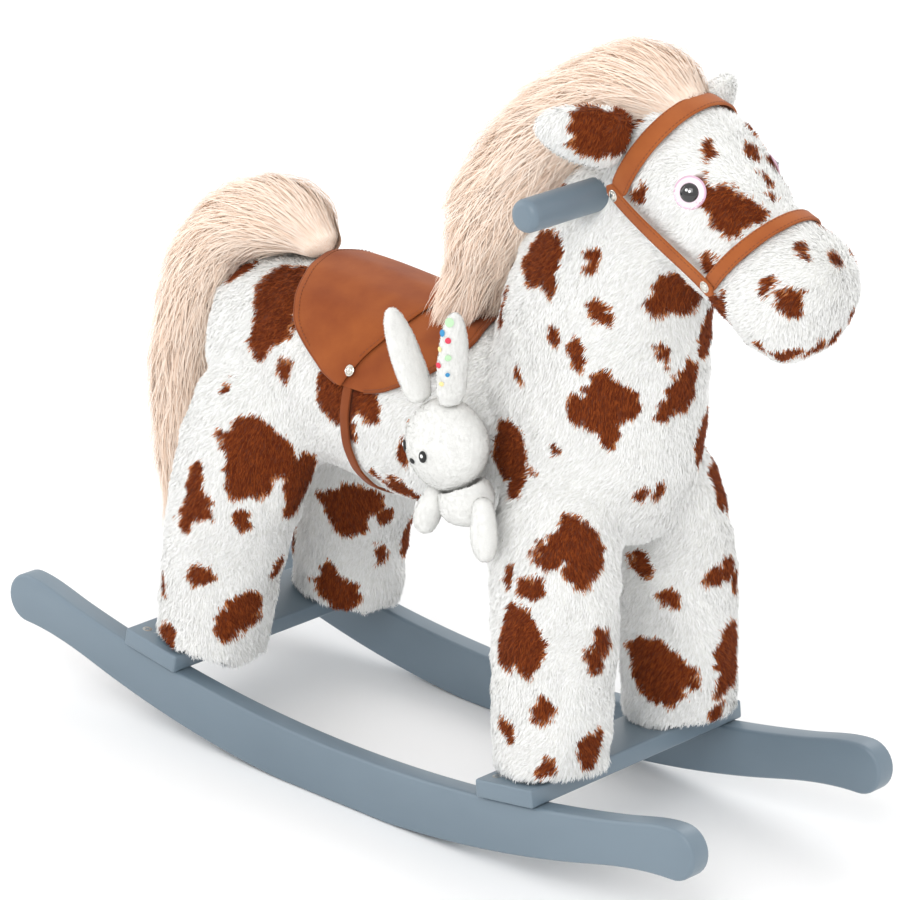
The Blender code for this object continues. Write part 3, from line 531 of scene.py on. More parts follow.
def blades(name, points, normals, length, rng, patches, short):
    """Short pile at these places. short is each blade's share of the full length."""
    short = short[:, None]
    along = nap(points, normals, rng)
    size = length * rng.uniform(0.7, 1.15, (len(points), 1)) * short
    rise = rng.uniform(0.30, 0.56, (len(points), 1)) * (0.35 + 0.65 * short)
    root = points - normals * 0.0006
    middle = root + size * (normals * rise * 0.72 + along * 0.42)
    tip = root + size * (normals * rise + along * 0.95)
    lines = np.stack([root, middle, tip], axis=1)
    across = unit(np.cross(along, normals) + rng.normal(size=points.shape) * 0.25)
    widths = np.array([1.0, 0.85, 0.0]) * BLADE_WIDTH
    brown = brownness(root + along * size * 0.3, patches)
    chance = rng.random(len(points))
    tints = rng.integers(0, len(WHITE_PILE), len(points))
    tints[brown > 0.25 + 0.5 * chance] += len(WHITE_PILE)
    at_edge = (brown > 0.04) & (brown < 0.96) & (rng.random(len(points)) < RUST_SHARE)
    materials = [*WHITE_PILE, *BROWN_PILE, RUST_PILE]
    tints[at_edge] = materials.index(RUST_PILE)
    faced = normals + along * 0.12 + rng.normal(size=points.shape) * 0.16
    piece = ribbons(name, lines, each_row(across), widths, tints, materials, each_row(faced))
    return finish_piece(piece, "horse", "spotted_plush")


# ---------------------------------------------------------------- camera, light, floor
def build_stage():
    floor_size = 12.0
    bm = bmesh.new()
    bmesh.ops.create_grid(bm, x_segments=1, y_segments=1, size=floor_size)
    pale = plain("pale_floor", "#F6F6F6", 0.9)
    floor = from_bmesh("floor", bm, [pale], smooth=False)
    floor.location.z = -0.0002

    world = bpy.data.worlds.new("studio")
    bpy.context.scene.world = world
    world.use_nodes = True
    sky = world.node_tree.nodes["Background"]
    sky.inputs["Color"].default_value = (1.0, 1.0, 1.0, 1.0)
    sky.inputs["Strength"].default_value = 1.04
    for name, place, size, power in (
        ("key", (1.6, -3.0, 2.9), 2.2, 56),
        ("fill", (-3.2, -1.6, 2.0), 2.6, 26),
        ("back", (-0.8, 3.0, 3.2), 2.4, 34),
    ):
        light = bpy.data.lights.new(name, "AREA")
        light.size = size
        light.energy = power
        lamp = bpy.data.objects.new(name, light)
        lamp.location = place
        aim = Vector((0, 0, 0.32)) - Vector(place)
        lamp.rotation_euler = aim.to_track_quat("-Z", "Y").to_euler()
        bpy.context.scene.collection.objects.link(lamp)
    bpy.context.scene.view_settings.view_transform = "Standard"


def build_camera():
    azimuth, elevation = math.radians(CAMERA_AZIMUTH), math.radians(CAMERA_ELEVATION)
    roll = math.radians(CAMERA_ROLL)
    back = Vector((math.sin(azimuth), -math.cos(azimuth), 0)) * math.cos(elevation)
    back.z = math.sin(elevation)
    level = Vector((math.cos(azimuth), math.sin(azimuth), 0))
    upright = back.cross(level)
    right = level * math.cos(roll) + upright * math.sin(roll)
    up = upright * math.cos(roll) - level * math.sin(roll)
    data = bpy.data.cameras.new("camera")
    data.lens = CAMERA_LENS
    data.sensor_width = 36.0
    camera = bpy.data.objects.new("camera", data)
    turn = Matrix((right, up, back)).transposed().to_4x4()
    camera.matrix_world = Matrix.Translation(CAMERA_TARGET + back * CAMERA_DISTANCE) @ turn
    bpy.context.scene.collection.objects.link(camera)
    bpy.context.scene.camera = camera


# ---------------------------------------------------------------- painted wood
def arc_rise(radius, x):
    return radius - math.sqrt(radius * radius - x * x)


def run(start, end, steps):
    """Points of a smooth run between two (x, z, slope) ends, without the first."""
    (x0, z0, s0), (x1, z1, s1) = start, end
    width = x1 - x0
    shares = [k / steps for k in range(1, steps + 1)]
    return [(x0 + t * width, hermite(t, z0, z1, s0, s1, width)) for t in shares]


def rocker_half_outline():
    """From the flat's front end along the bottom, round the tip and back over the top."""
    tip_x = ROCKER_LENGTH / 2 - ROCKER_TIP_RADIUS
    arc_end, top_start, steps = 0.270, 0.290, 24
    flat_rise = arc_rise(ROCKER_BOTTOM_RADIUS, ROCKER_FLAT_HALF)
    points = []
    for k in range(steps + 1):
        x = ROCKER_FLAT_HALF + (arc_end - ROCKER_FLAT_HALF) * k / steps
        points.append((x, arc_rise(ROCKER_BOTTOM_RADIUS, x) - flat_rise))
    slope = arc_end / math.sqrt(ROCKER_BOTTOM_RADIUS**2 - arc_end**2)
    points += run((*points[-1], slope), (tip_x, ROCKER_TIP_Z - ROCKER_TIP_RADIUS, 0.02), 12)
    for k in range(1, 17):
        turn = math.pi * (k / 16 - 0.5)
        x = tip_x + ROCKER_TIP_RADIUS * math.cos(turn)
        points.append((x, ROCKER_TIP_Z + ROCKER_TIP_RADIUS * math.sin(turn)))
    slope = top_start / math.sqrt(ROCKER_TOP_RADIUS**2 - top_start**2)
    top_z = ROCKER_DEPTH + arc_rise(ROCKER_TOP_RADIUS, top_start)
    points += run((*points[-1], 0.02), (top_start, top_z, slope), 10)
    for k in range(1, steps):
        x = top_start * (1 - k / steps)
        points.append((x, ROCKER_DEPTH + arc_rise(ROCKER_TOP_RADIUS, x)))
    return points


def eased_plate(name, outline, low_y, high_y, ease):
    """A plate from an outline in (x, z), with rounded edges."""
    bm = bmesh.new()
    face = bm.faces.new([bm.verts.new((x, low_y, z)) for x, z in outline])
    made = bmesh.ops.extrude_face_region(bm, geom=[face])["geom"]
    moved = [v for v in made if isinstance(v, bmesh.types.BMVert)]
    bmesh.ops.translate(bm, verts=moved, vec=(0, high_y - low_y, 0))
    obj = from_bmesh(name, bm, [PAINT])
    bevel = obj.modifiers.new("eased", "BEVEL")
    bevel.width = ease
    bevel.segments = 4
    bevel.limit_method = "ANGLE"
    bevel.angle_limit = math.radians(50)
    baked(obj)
    obj.data.shade_smooth()
    obj.data.set_sharp_from_angle(angle=math.radians(38))
    return obj


def build_rockers():
    half = rocker_half_outline()
    outline = half + [(0.0, ROCKER_DEPTH)] + [(-x, z) for x, z in reversed(half)]
    outline = [(x + SHIFT_X, z) for x, z in outline]
    inner = ROCKER_OUTER_Y - ROCKER_THICKNESS
    for side, sign in SIDES.items():
        low, high = sorted((sign * inner, sign * ROCKER_OUTER_Y))
        rail = eased_plate("rail_" + side, outline, low, high, 0.0030)
        finish_piece(rail, "horse", "grey_blue_paint", "rocker_" + side)


def board_frame(end):
    """The middle of a footboard's underside, and its directions along and up."""
    x = BOARD_X[end]
    centre = Vector((0, 0, ROCKER_DEPTH + ROCKER_TOP_RADIUS))
    rim = Vector((x, 0, ROCKER_DEPTH + arc_rise(ROCKER_TOP_RADIUS, x)))
    up = (centre - rim).normalized()
    middle = centre - up * (ROCKER_TOP_RADIUS - BOARD_LIFT) + Vector((SHIFT_X, 0, 0))
    return middle, Vector((up.z, 0, -up.x)), up


def build_footboards():
    half = BOARD_WIDTH / 2
    for end in ENDS:
        middle, ahead, up = board_frame(end)
        outline = []
        for along, rise in ((-half, 0), (half, 0), (half, BOARD_THICKNESS), (-half, BOARD_THICKNESS)):
            corner = middle + ahead * along + up * rise
            outline.append((corner.x, corner.z))
        board = eased_plate("board_" + end, outline, -BOARD_LENGTH / 2, BOARD_LENGTH / 2, 0.0020)
        finish_piece(board, "horse", "grey_blue_paint", end + "_footboard")
        for side, sign in SIDES.items():
            place = middle - ahead * 0.018 + up * BOARD_THICKNESS
            place.y = sign * (ROCKER_OUTER_Y - ROCKER_THICKNESS / 2)
            screw = screw_head(f"cross_head_{end}_{side}", place, up)
            finish_piece(screw, "horse", "zinc_steel", f"board_screw_{end}_{side}")


def turned(name, profile, place, direction, materials, steps=48):
    """A round piece from a profile of (radius, height) that runs from its top to its bottom."""
    bm = bmesh.new()
    verts = [bm.verts.new((r, 0, h)) for r, h in profile]
    edges = [bm.edges.new(pair) for pair in zip(verts, verts[1:])]
    about_z = {"axis": (0, 0, 1), "cent": (0, 0, 0), "angle": math.tau}
    bmesh.ops.spin(bm, geom=verts + edges, steps=steps, **about_z)
    bmesh.ops.remove_doubles(bm, verts=bm.verts, dist=1e-6)
    bm.transform(standing(place, direction))
    obj = from_bmesh(name, bm, materials)
    obj.data.set_sharp_from_angle(angle=math.radians(45))
    return obj


def domed(radius, base, height, degrees):
    """Profile points of (radius, height) over a dome, at these angles from its top."""
    return [(radius * math.sin(a), base + height * math.cos(a)) for a in np.radians(degrees)]


def screw_head(name, place, up):
    """A countersunk head with a cross recess, sunk flush."""
    radius, depth, slot = 0.0042, 0.0028, 0.0007
    profile = [(0, 0.00015), (radius * 0.9, 0.0001), (radius, -0.0002), (0.002, -depth)]
    profile += [(0.002, -0.034), (0, -0.036)]
    obj = turned(name, profile, (0, 0, 0), (0, 0, 1), [STEEL], 24)
    for k, (wide, long) in enumerate(((slot, radius * 0.62), (radius * 0.62, slot))):
        bm = bmesh.new()
        bmesh.ops.create_cube(bm, size=2.0)
        bmesh.ops.scale(bm, verts=bm.verts, vec=(wide, long, 0.0012))
        cutter = from_bmesh(f"{name}_slot_{k}", bm, smooth=False)
        carve = obj.modifiers.new("slot", "BOOLEAN")
        carve.operation = "DIFFERENCE"
        carve.object = cutter
        baked(obj)
        bpy.data.objects.remove(cutter)
    obj.data.transform(standing(place, up))
    return obj


def build_handle():
    crown = 0.0065
    top = []
    for k in range(9):
        a = math.radians(90 * k / 8)
        radius = HANDLE_RADIUS - crown + crown * math.sin(a)
        top.append((radius, HANDLE_HALF - crown + crown * math.cos(a)))
    profile = [(0, HANDLE_HALF), *top, *[(r, -h) for r, h in reversed(top)], (0, -HANDLE_HALF)]
    place = (HANDLE_X + SHIFT_X, 0, HANDLE_Z)
    handle = turned("grip_bar", profile, place, (0, 1, 0), [PAINT])
    finish_piece(handle, "horse", "grey_blue_paint", "handle_bar")


# ---------------------------------------------------------------- straps and stitching
FORM = {}


def cast(origin, direction):
    """Where a ray from inside or outside meets the stuffed form, and the normal there."""
    place, normal, _, _ = FORM["tree"].ray_cast(Vector(origin), Vector(direction))
    return place, normal


def cast_from_side(x, z, sign, fall=0.0):
    """The form's surface and normal at (x, z), from the right (-1) or the left (1)."""
    return cast((x + SHIFT_X, sign * 0.2, z), (0, -sign, fall))


def section_path(centre, upward, start, end):
    """The form's outline in the plane of the y axis and a direction, between two angles."""
    count, met = (end - start) // 2, []
    for k in range(count + 1):
        a = math.radians(start + (end - start) * k / count)
        met.append(cast(centre, upward * math.cos(a) + Vector((0, 1, 0)) * math.sin(a)))
    return list(zip(*met))


def side_path(start, end, sign):
    """The form's side along a line between two (x, z) places."""
    count, met = 30, []
    for t in (k / count for k in range(count + 1)):
        x, z = (a + (b - a) * t for a, b in zip(start, end))
        met.append(cast_from_side(x, z, sign))
    return list(zip(*met))


def evened(points, normals, spacing=0.0022):
    """The path relaxed and laid out at an even spacing, with its directions."""
    p, n = relaxed(np.array(points), 6), relaxed(np.array(normals), 6)
    reach = distances(p)
    marks = np.linspace(0, reach[-1], max(4, int(reach[-1] / spacing)))
    p, n = sampled(marks, reach, p), sampled(marks, reach, n)
    along = unit(np.gradient(p, axis=0))
    n = unit(n - (n * along).sum(axis=1, keepdims=True) * along)
    return p, along, n, np.cross(n, along), marks


STRAP_PROFILE = [(-1, 0.0), (-1, 0.55), (-0.94, 0.92), (-0.8, 1.0), (-0.35, 1.04), (0, 1.06)]
STRAP_PROFILE += [(-s, h) for s, h in reversed(STRAP_PROFILE[:-1])]


def strap(name, path, width, lift, material):
    """A strap laid on the form, with rounded ends and slightly crowned face."""
    p, _, n, side, marks = evened(*path)
    left = np.minimum(marks, marks[-1] - marks)
    share = np.ones(len(p))
    near = left < width / 2
    share[near] = np.sqrt(np.clip(1 - (1 - left[near] / (width / 2)) ** 2, 0.02, 1))
    bm = bmesh.new()
    rings = []
    for i in range(len(p)):
        reach = side[i] * width / 2 * share[i]
        places = [p[i] + reach * s + n[i] * (lift + h * STRAP_THICKNESS) for s, h in STRAP_PROFILE]
        rings.append([bm.verts.new(place) for place in places])
    skin_rings(bm, rings)
    obj = from_bmesh(name, bm, [material])
    obj.data.set_sharp_from_angle(angle=math.radians(50))
    return obj


def stitch_template(length, radius):
    """One stitch along +X: a small thread with pinched ends."""
    rows, sides, places = 5, 6, []
    for t in np.linspace(-1, 1, rows):
        wide = radius * math.sqrt(max(0.08, 1 - t * t))
        for a in np.arange(sides) * math.tau / sides:
            places.append((t * length / 2, wide * math.cos(a), wide * math.sin(a)))
    faces = []
    for r in range(rows - 1):
        for k in range(sides):
            n = (k + 1) % sides
            low, high = r * sides, (r + 1) * sides
            faces.append((low + k, low + n, high + n, high + k))
    faces.append(tuple(range(sides)))
    faces.append(tuple(reversed(range(len(places) - sides, len(places)))))
    return np.array(places), faces


def stitches(name, lines, material, pitch=0.0036, length=0.0025, radius=0.00034):
    """Rows of stitches. Each line is (points, along, outward)."""
    template, pattern = stitch_template(length, radius)
    verts, faces = [], []
    for points, along, out in lines:
        reach = distances(points)
        for mark in np.arange(pitch, reach[-1] - pitch / 2, pitch):
            place, way, up = (sampled(mark, reach, rows) for rows in (points, along, out))
            way, up = unit(way), unit(up)
            turn = np.stack([way, np.cross(up, way), up], axis=0)
            base = len(verts) * len(template)
            verts.append(place + template @ turn)
            faces += [tuple(base + i for i in face) for face in pattern]
    mesh = bpy.data.meshes.new(name)
    mesh.from_pydata(np.concatenate(verts).tolist(), [], faces)
    mesh.shade_smooth()
    return new_object(name, mesh, [material])


def edge_lines(path, width, lift, inset=0.0016):
    """The two lines of stitches along a strap's edges."""
    p, along, n, side, _ = evened(*path)
    top = lift + STRAP_THICKNESS * 1.02
    keep = slice(2, -2)
    lines = []
    for sign in (-1, 1):
        row = p + side * sign * (width / 2 - inset) + n * top
        lines.append((row[keep], along[keep], n[keep]))
    return lines


def rivet(name, place, outward, lift, *nodes):
    """A domed head on a washer rim."""
    wide, dome = 0.0046, 0.0021
    profile = domed(wide * 0.66, 0.0006, dome * 0.72, np.linspace(0, 90, 8))
    profile += [(wide * 0.72, 0.0005), (wide * 0.86, 0.0009), (wide, 0.0005), (wide, 0)]
    profile += [(0.0018, -0.0002), (0.0018, -0.006), (0, -0.006)]
    obj = turned(name, profile, Vector(place) + Vector(outward) * lift, outward, [NICKEL], 32)
    return finish_piece(obj, "horse", "rivet_metal", *nodes)


def bridle_paths():
    shift = Vector((SHIFT_X, 0, 0))
    up = Vector((0.0490, 0, 0.103)).normalized()
    crown = section_path(Vector((0.2215, 0, 0.5655)) + shift, up, -116, 116)
    up = Vector((0.0595, 0, 0.080)).normalized()
    nose = section_path(Vector((0.3024, 0, 0.498)) + shift, up, -106, 106)
    cheeks = {}
    for side, sign in SIDES.items():
        cheeks[side] = side_path((0.2016, 0.5460), (0.3025, 0.4848), sign)
    return crown, nose, cheeks


def build_bridle(crown, nose, cheeks):
    low = 0.0004
    over = low + STRAP_THICKNESS + 0.0002
    lines = []
    for name, path, width, node in (
        ("crown_strap", crown, 0.0170, "bridle_crown"),
        ("nose_strap", nose, 0.0122, "bridle_noseband"),
    ):
        piece = strap(name, path, width, low, SUEDE)
        finish_piece(piece, "horse", "brown_suede", node)
        lines += edge_lines(path, width, low)
    for side, sign in SIDES.items():
        path = cheeks[side]
        piece = strap("cheek_strap_" + side, path, 0.0112, over, SUEDE)
        finish_piece(piece, "horse", "brown_suede", "bridle_cheek_" + side)
        lines += edge_lines(path, 0.0112, over)
        for level, (x, z) in (("upper", UPPER_RIVET), ("lower", LOWER_RIVET)):
            place, normal = cast_from_side(x, z, sign)
            node = f"bridle_rivet_{level}_{side}"
            rivet(f"rivet_{level}_{side}", place, normal, over + STRAP_THICKNESS, node)
    thread = stitches("bridle_stitching", lines, THREAD)
    finish_piece(thread, "horse", "brown_suede")


# ---------------------------------------------------------------- saddle
def edge_at(edge, angle):
    """The edge's x at an angle from the top, smooth between its given points."""
    angles, xs = zip(*edge)
    a = abs(angle)
    i = max(1, min(len(edge) - 1, int(np.searchsorted(angles, a))))
    slopes = np.gradient(xs, angles)
    slopes[0] = 0.0
    width = angles[i] - angles[i - 1]
    t = min(1.0, max(0.0, (a - angles[i - 1]) / width))
    return hermite(t, xs[i - 1], xs[i], slopes[i - 1], slopes[i], width)


def torso_place(x, angle, lift):
    """A place on the barrel of the torso, at an angle from the top, and the way out."""
    a = math.radians(angle)
    way = Vector((0, -math.sin(a), math.cos(a)))
    place, _ = FORM["torso"].ray_cast(Vector((x, 0, TORSO_AXIS_Z)), way)[:2]
    return place + way * lift, way


def saddle_panel(name, rear, front, lift, plump, thickness):
    """A panel of the saddle between two edges, its far and near flaps meeting over the back."""
    rows, columns = 96, 44
    bm = bmesh.new()
    grid = []
    for r in range(rows + 1):
        angle = SADDLE_LIMIT * math.sin(math.pi / 2 * (2 * r / rows - 1))
        start, end = edge_at(rear, angle), edge_at(front, angle)
        line = []
        for c in range(columns + 1):
            u = c / columns
            middle = math.sin(math.pi * u) * math.cos(math.radians(angle))
            rise = plump * max(0.0, middle) ** 0.7
            x = start + (end - start) * (0.5 - 0.5 * math.cos(math.pi * u))
            line.append(bm.verts.new(torso_place(x, angle, lift + rise)[0]))
        grid.append(line)
    for a, b in zip(grid, grid[1:]):
        for k in range(columns):
            bm.faces.new((a[k], a[k + 1], b[k + 1], b[k]))
    bmesh.ops.remove_doubles(bm, verts=bm.verts, dist=1e-5)
    # The panels take that darker suede, painted shade for their upward-facing top.
    obj = from_bmesh(name, bm, [PAINTED_SHADE_SEAT_SUEDE])
    if obj.data.polygons[len(obj.data.polygons) // 2].normal.z < 0:
        obj.data.flip_normals()
    solid = obj.modifiers.new("thickness", "SOLIDIFY")
    solid.thickness = thickness
    solid.offset = -1
    baked(obj)
    obj.data.shade_smooth()
    obj.data.set_sharp_from_angle(angle=math.radians(60))
    return obj


def saddle_line(edge, inset, lift, limit):
    """A line on the saddle along an edge, that far inside it, as (points, along, outward)."""
    angles = np.linspace(-limit, limit, 90)
    laid = [torso_place(edge_at(edge, angle) + inset, angle, lift) for angle in angles]
    points, out = (np.array(rows) for rows in zip(*laid))
    return points, unit(np.gradient(points, axis=0)), out


def tube(name, points, radius, material):
    curve = bpy.data.curves.new(name, "CURVE")
    curve.dimensions = "3D"
    curve.bevel_depth = radius
    curve.bevel_resolution = 3
    curve.use_fill_caps = True
    spline = curve.splines.new("POLY")
    spline.points.add(len(points) - 1)
    for target, point in zip(spline.points, points):
        target.co = (*point, 1)
    obj = new_object(name, curve, [material])
    mesh = bpy.data.meshes.new_from_object(obj.evaluated_get(bpy.context.evaluated_depsgraph_get()))
    bpy.data.objects.remove(obj)
    mesh.shade_smooth()
    made = new_object(name, mesh)
    if not mesh.materials:
        mesh.materials.append(material)
    return made


def build_saddle():
    torso = merged_solid("torso_probe", ["torso_plush", "spine_board"], 0.004, 6)
    FORM["torso"] = tree_of(torso)
    bpy.data.objects.remove(torso)
    for name, front, lift, plump, thickness in (
        ("saddle_skirt", SADDLE_FRONT_EDGE, 0.0022, 0.0, 0.0018),
        ("saddle_seat", SEAT_FRONT_EDGE, 0.0040, 0.0032, 0.0016),
    ):
        panel = saddle_panel(name, SADDLE_REAR_EDGE, front, lift, plump, thickness)
        finish_piece(panel, "horse", "brown_suede", "saddle")
    for name, edge, inset, lift in (
        ("saddle_piping_rear", SADDLE_REAR_EDGE, 0.0006, 0.0034),
        ("saddle_piping_front", SADDLE_FRONT_EDGE, -0.0006, 0.0020),
    ):
        points, _, _ = saddle_line(edge, inset, lift, SADDLE_LIMIT - 0.5)
        piece = tube(name, points, 0.0016, SUEDE_EDGE)
        finish_piece(piece, "horse", "brown_suede")
    lines = [
        saddle_line(SADDLE_REAR_EDGE, 0.0062, 0.0060, 62),
        saddle_line(SEAT_FRONT_EDGE, -0.0030, 0.0052, 60),
        saddle_line(SADDLE_FRONT_EDGE, -0.0050, 0.0024, 66),
    ]
    finish_piece(stitches("saddle_stitching", lines, THREAD), "horse", "brown_suede")
    for side, sign in SIDES.items():
        place, way = torso_place(SADDLE_STUD_X + SHIFT_X, -sign * SADDLE_STUD_ANGLE, 0.0046)
        rivet("saddle_stud_" + side, place, way, 0.0002, "saddle_rivet_" + side)


def build_girth():
    centre = Vector((-0.029 + SHIFT_X, 0, TORSO_AXIS_Z))
    path = section_path(centre, Vector((0, 0, 1)), 70, 290)
    girth = strap("girth_band", path, 0.0085, 0.0002, SUEDE_EDGE)
    finish_piece(girth, "horse", "brown_suede", "girth_strap")
    return path


# ---------------------------------------------------------------- plush body
def on_saddle(points, margin):
    """Which points lie under the saddle, by that margin inside its edges."""
    degrees_per_metre, saddle_top, saddle_front = 600, TORSO_AXIS_Z + 0.106, 0.06
    angles = np.degrees(np.arctan2(np.abs(points[:, 1]), points[:, 2] - TORSO_AXIS_Z))
    table = np.arange(0, SADDLE_LIMIT + 1, 1.0)
    rear, front = (
        np.interp(angles, table, [edge_at(edge, a) for a in table])
        for edge in (SADDLE_REAR_EDGE, SADDLE_FRONT_EDGE)
    )
    inside = (points[:, 0] > rear + margin) & (points[:, 0] < front - margin)
    inside &= angles < SADDLE_LIMIT - margin * degrees_per_metre
    return inside & (points[:, 2] < saddle_top) & (points[:, 0] < saddle_front)


def near_path(points, path, reach):
    """Which points lie within reach of a path."""
    line = evened(*path, spacing=0.004)[0]
    low, high = line.min(axis=0) - reach, line.max(axis=0) + reach
    hit = ((points > low) & (points < high)).all(axis=1)
    away = [np.linalg.norm(points[hit] - place, axis=1) for place in line]
    hit[hit] = np.min(away, axis=0) < reach
    return hit


def fill_grip_hole(bm):
    """A core in the neck's grip hole, so that the skin closes round the bar."""
    lying = Matrix.Rotation(math.pi / 2, 4, "X")
    place = Matrix.Translation((HANDLE_X + SHIFT_X, 0, HANDLE_Z))
    radius = HANDLE_RADIUS + 0.0030
    shape = {"radius1": radius, "radius2": radius, "depth": 0.102, "matrix": place @ lying}
    bmesh.ops.create_cone(bm, cap_ends=True, segments=32, **shape)


def build_form():
    """The whole stuffed form as one smooth surface, which the straps lie on."""
    plush = ["torso_plush", "neck_plush", "head_plush"]
    wood = ["spine_board", "neck_post"]
    for end in ENDS:
        for side in SIDES:
            plush.append(f"leg_plush_{end}_{side}")
            wood.append(f"leg_post_{end}_{side}")
    body = merged_solid("plush_body", plush + wood, 0.004, 7, [BACKING], fill_grip_hole)
    FORM["tree"] = tree_of(body)
    return body, plush


def mark_brown(mesh, patches):
    attribute = mesh.attributes.new("brown", "FLOAT", "POINT")
    values = brownness(vectors_of(mesh, "co"), patches)
    attribute.data.foreach_set("value", values.astype(np.float32))


def sink(obj, depth, lumps):
    """Moves a skin in under its pile, with soft unevenness from the stuffing."""
    mesh = obj.data
    points, normals = vectors_of(mesh, "co"), vectors_of(mesh, "normal")
    uneven = (wander(points, 0.075, 21) * normals).sum(axis=1, keepdims=True) * lumps
    fine = (wander(points, 0.03, 22) * normals).sum(axis=1, keepdims=True) * lumps * 0.4
    set_coordinates(mesh, points - normals * (depth - uneven - fine))


def bare_places(points, normals):
    """Where no pile grows, because something else lies there or the wood does."""
    bare = on_saddle(points, 0.008)
    bare |= (points[:, 2] < SOLE_Z) & (normals[:, 2] < -0.75)
    for sign in SIDES.values():
        eye, _ = cast_from_side(*EYE, sign)
        bare |= np.linalg.norm(points - np.array(eye), axis=1) < 0.0115
    from_grip = np.hypot(points[:, 0] - HANDLE_X - SHIFT_X, points[:, 2] - HANDLE_Z)
    bare |= from_grip < HANDLE_RADIUS + 0.0012
    for node, depth in (("mane", 0.006), ("bunny_head", 0.004), ("bunny_body", 0.004)):
        bare |= inside_node(points, node, depth)
    return bare


def build_body(body, plush_nodes, straps):
    sink(body, PILE, 0.0016)
    patches = lay_patches(body)
    mark_brown(body.data, patches)
    finish_piece(body, "horse", "spotted_plush", *plush_nodes)
    rng = np.random.default_rng(7)
    density = BLADE_DENSITY * 1.0
    points, normals = scatter(body.data, density, rng)
    grown = ~bare_places(points, normals)
    points, normals = points[grown], normals[grown]
    pressed = on_saddle(points, 0.0)
    for path, reach in straps:
        pressed |= near_path(points, path, reach)
    short = np.where(pressed, 0.30, 1.0)
    regions = {
        "head": (points[:, 0] > 0.19) & (points[:, 2] > 0.44),
        "neck": (points[:, 0] > 0.05) & (points[:, 2] > 0.29),
        "front_legs": points[:, 0] > 0.05,
        "torso": points[:, 2] > 0.27,
        "rear_legs": points[:, 0] > -1,
    }
    taken = np.zeros(len(points), bool)
    for region, chosen in regions.items():
        chosen = np.flatnonzero(chosen & ~taken)
        taken[chosen] = True
        for part, picked in enumerate(np.array_split(chosen, math.ceil(len(chosen) / 64000))):
            name = f"pile_{region}_{part + 1}"
            place = (points[picked], normals[picked])
            blades(name, *place, BLADE_LENGTH, rng, patches, short[picked])


def inside_node(points, node, depth):
    """Which points lie inside a frame node by more than a depth."""
    tree = tree_of(NODES[node])
    low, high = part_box(node)
    hit = ((points > np.array(low)) & (points < np.array(high))).all(axis=1)
    for i in np.flatnonzero(hit):
        place, normal, _, away = tree.find_nearest(Vector(points[i]))
        hit[i] = (Vector(points[i]) - place).dot(normal) < 0 and away > depth
    return hit


def stuffed(name, node, body, slot, material, grid, sunk, fill):
    """A padded skin over one frame node. grid is (voxel, rounds), sunk (depth, lumps)."""
    skin = merged_solid(name, [node], *grid, [material])
    sink(skin, *sunk)
    finish_piece(skin, body, slot, node)
    return skin


def build_ears():
    rng = np.random.default_rng(17)
    density = BLADE_DENSITY * 1.15
    for side in SIDES:
        finish = ("horse", "spotted_plush", BACKING, (0.0022, 5), (0.0016, 0.0006), 0.6)
        ear = stuffed("ear_skin_" + side, "ear_" + side, *finish)
        mark_brown(ear.data, EAR_PATCHES)
        points, normals = scatter(ear.data, density, rng)
        full = np.ones(len(points))
        blades("ear_pile_" + side, points, normals, EAR_BLADE_LENGTH, rng, EAR_PATCHES, full)


# ---------------------------------------------------------------- mane and tail
MANE_PATH = metres(
    (226, 597, 27, 21), (214, 601, 34, 28), (194, 603, 37, 30), (166, 598, 37, 31), (115, 561, 38, 33),
    (73, 505, 42, 36), (48, 456, 39, 31), (37, 432, 26, 20),
)
TAIL_PATH = metres(
    (-142, 406, 22, 11), (-150, 411, 27, 15), (-166, 416, 31, 20), (-191, 418, 33, 24),
    (-228, 402, 35, 27), (-258, 356, 35, 28), (-272, 294, 33, 27), (-276, 230, 32, 26),
    (-275, 184, 29, 23), (-274, 158, 23, 19),
)


def spine_of(path, count=160):
    """Even samples along a side-view path of (x, z, half width, half depth)."""
    rows = np.array(path, float)
    rows[:, 0] += SHIFT_X
    reach = distances(rows[:, :2])
    return relaxed(sampled(np.linspace(0, reach[-1], count), reach, rows), 60), reach[-1]


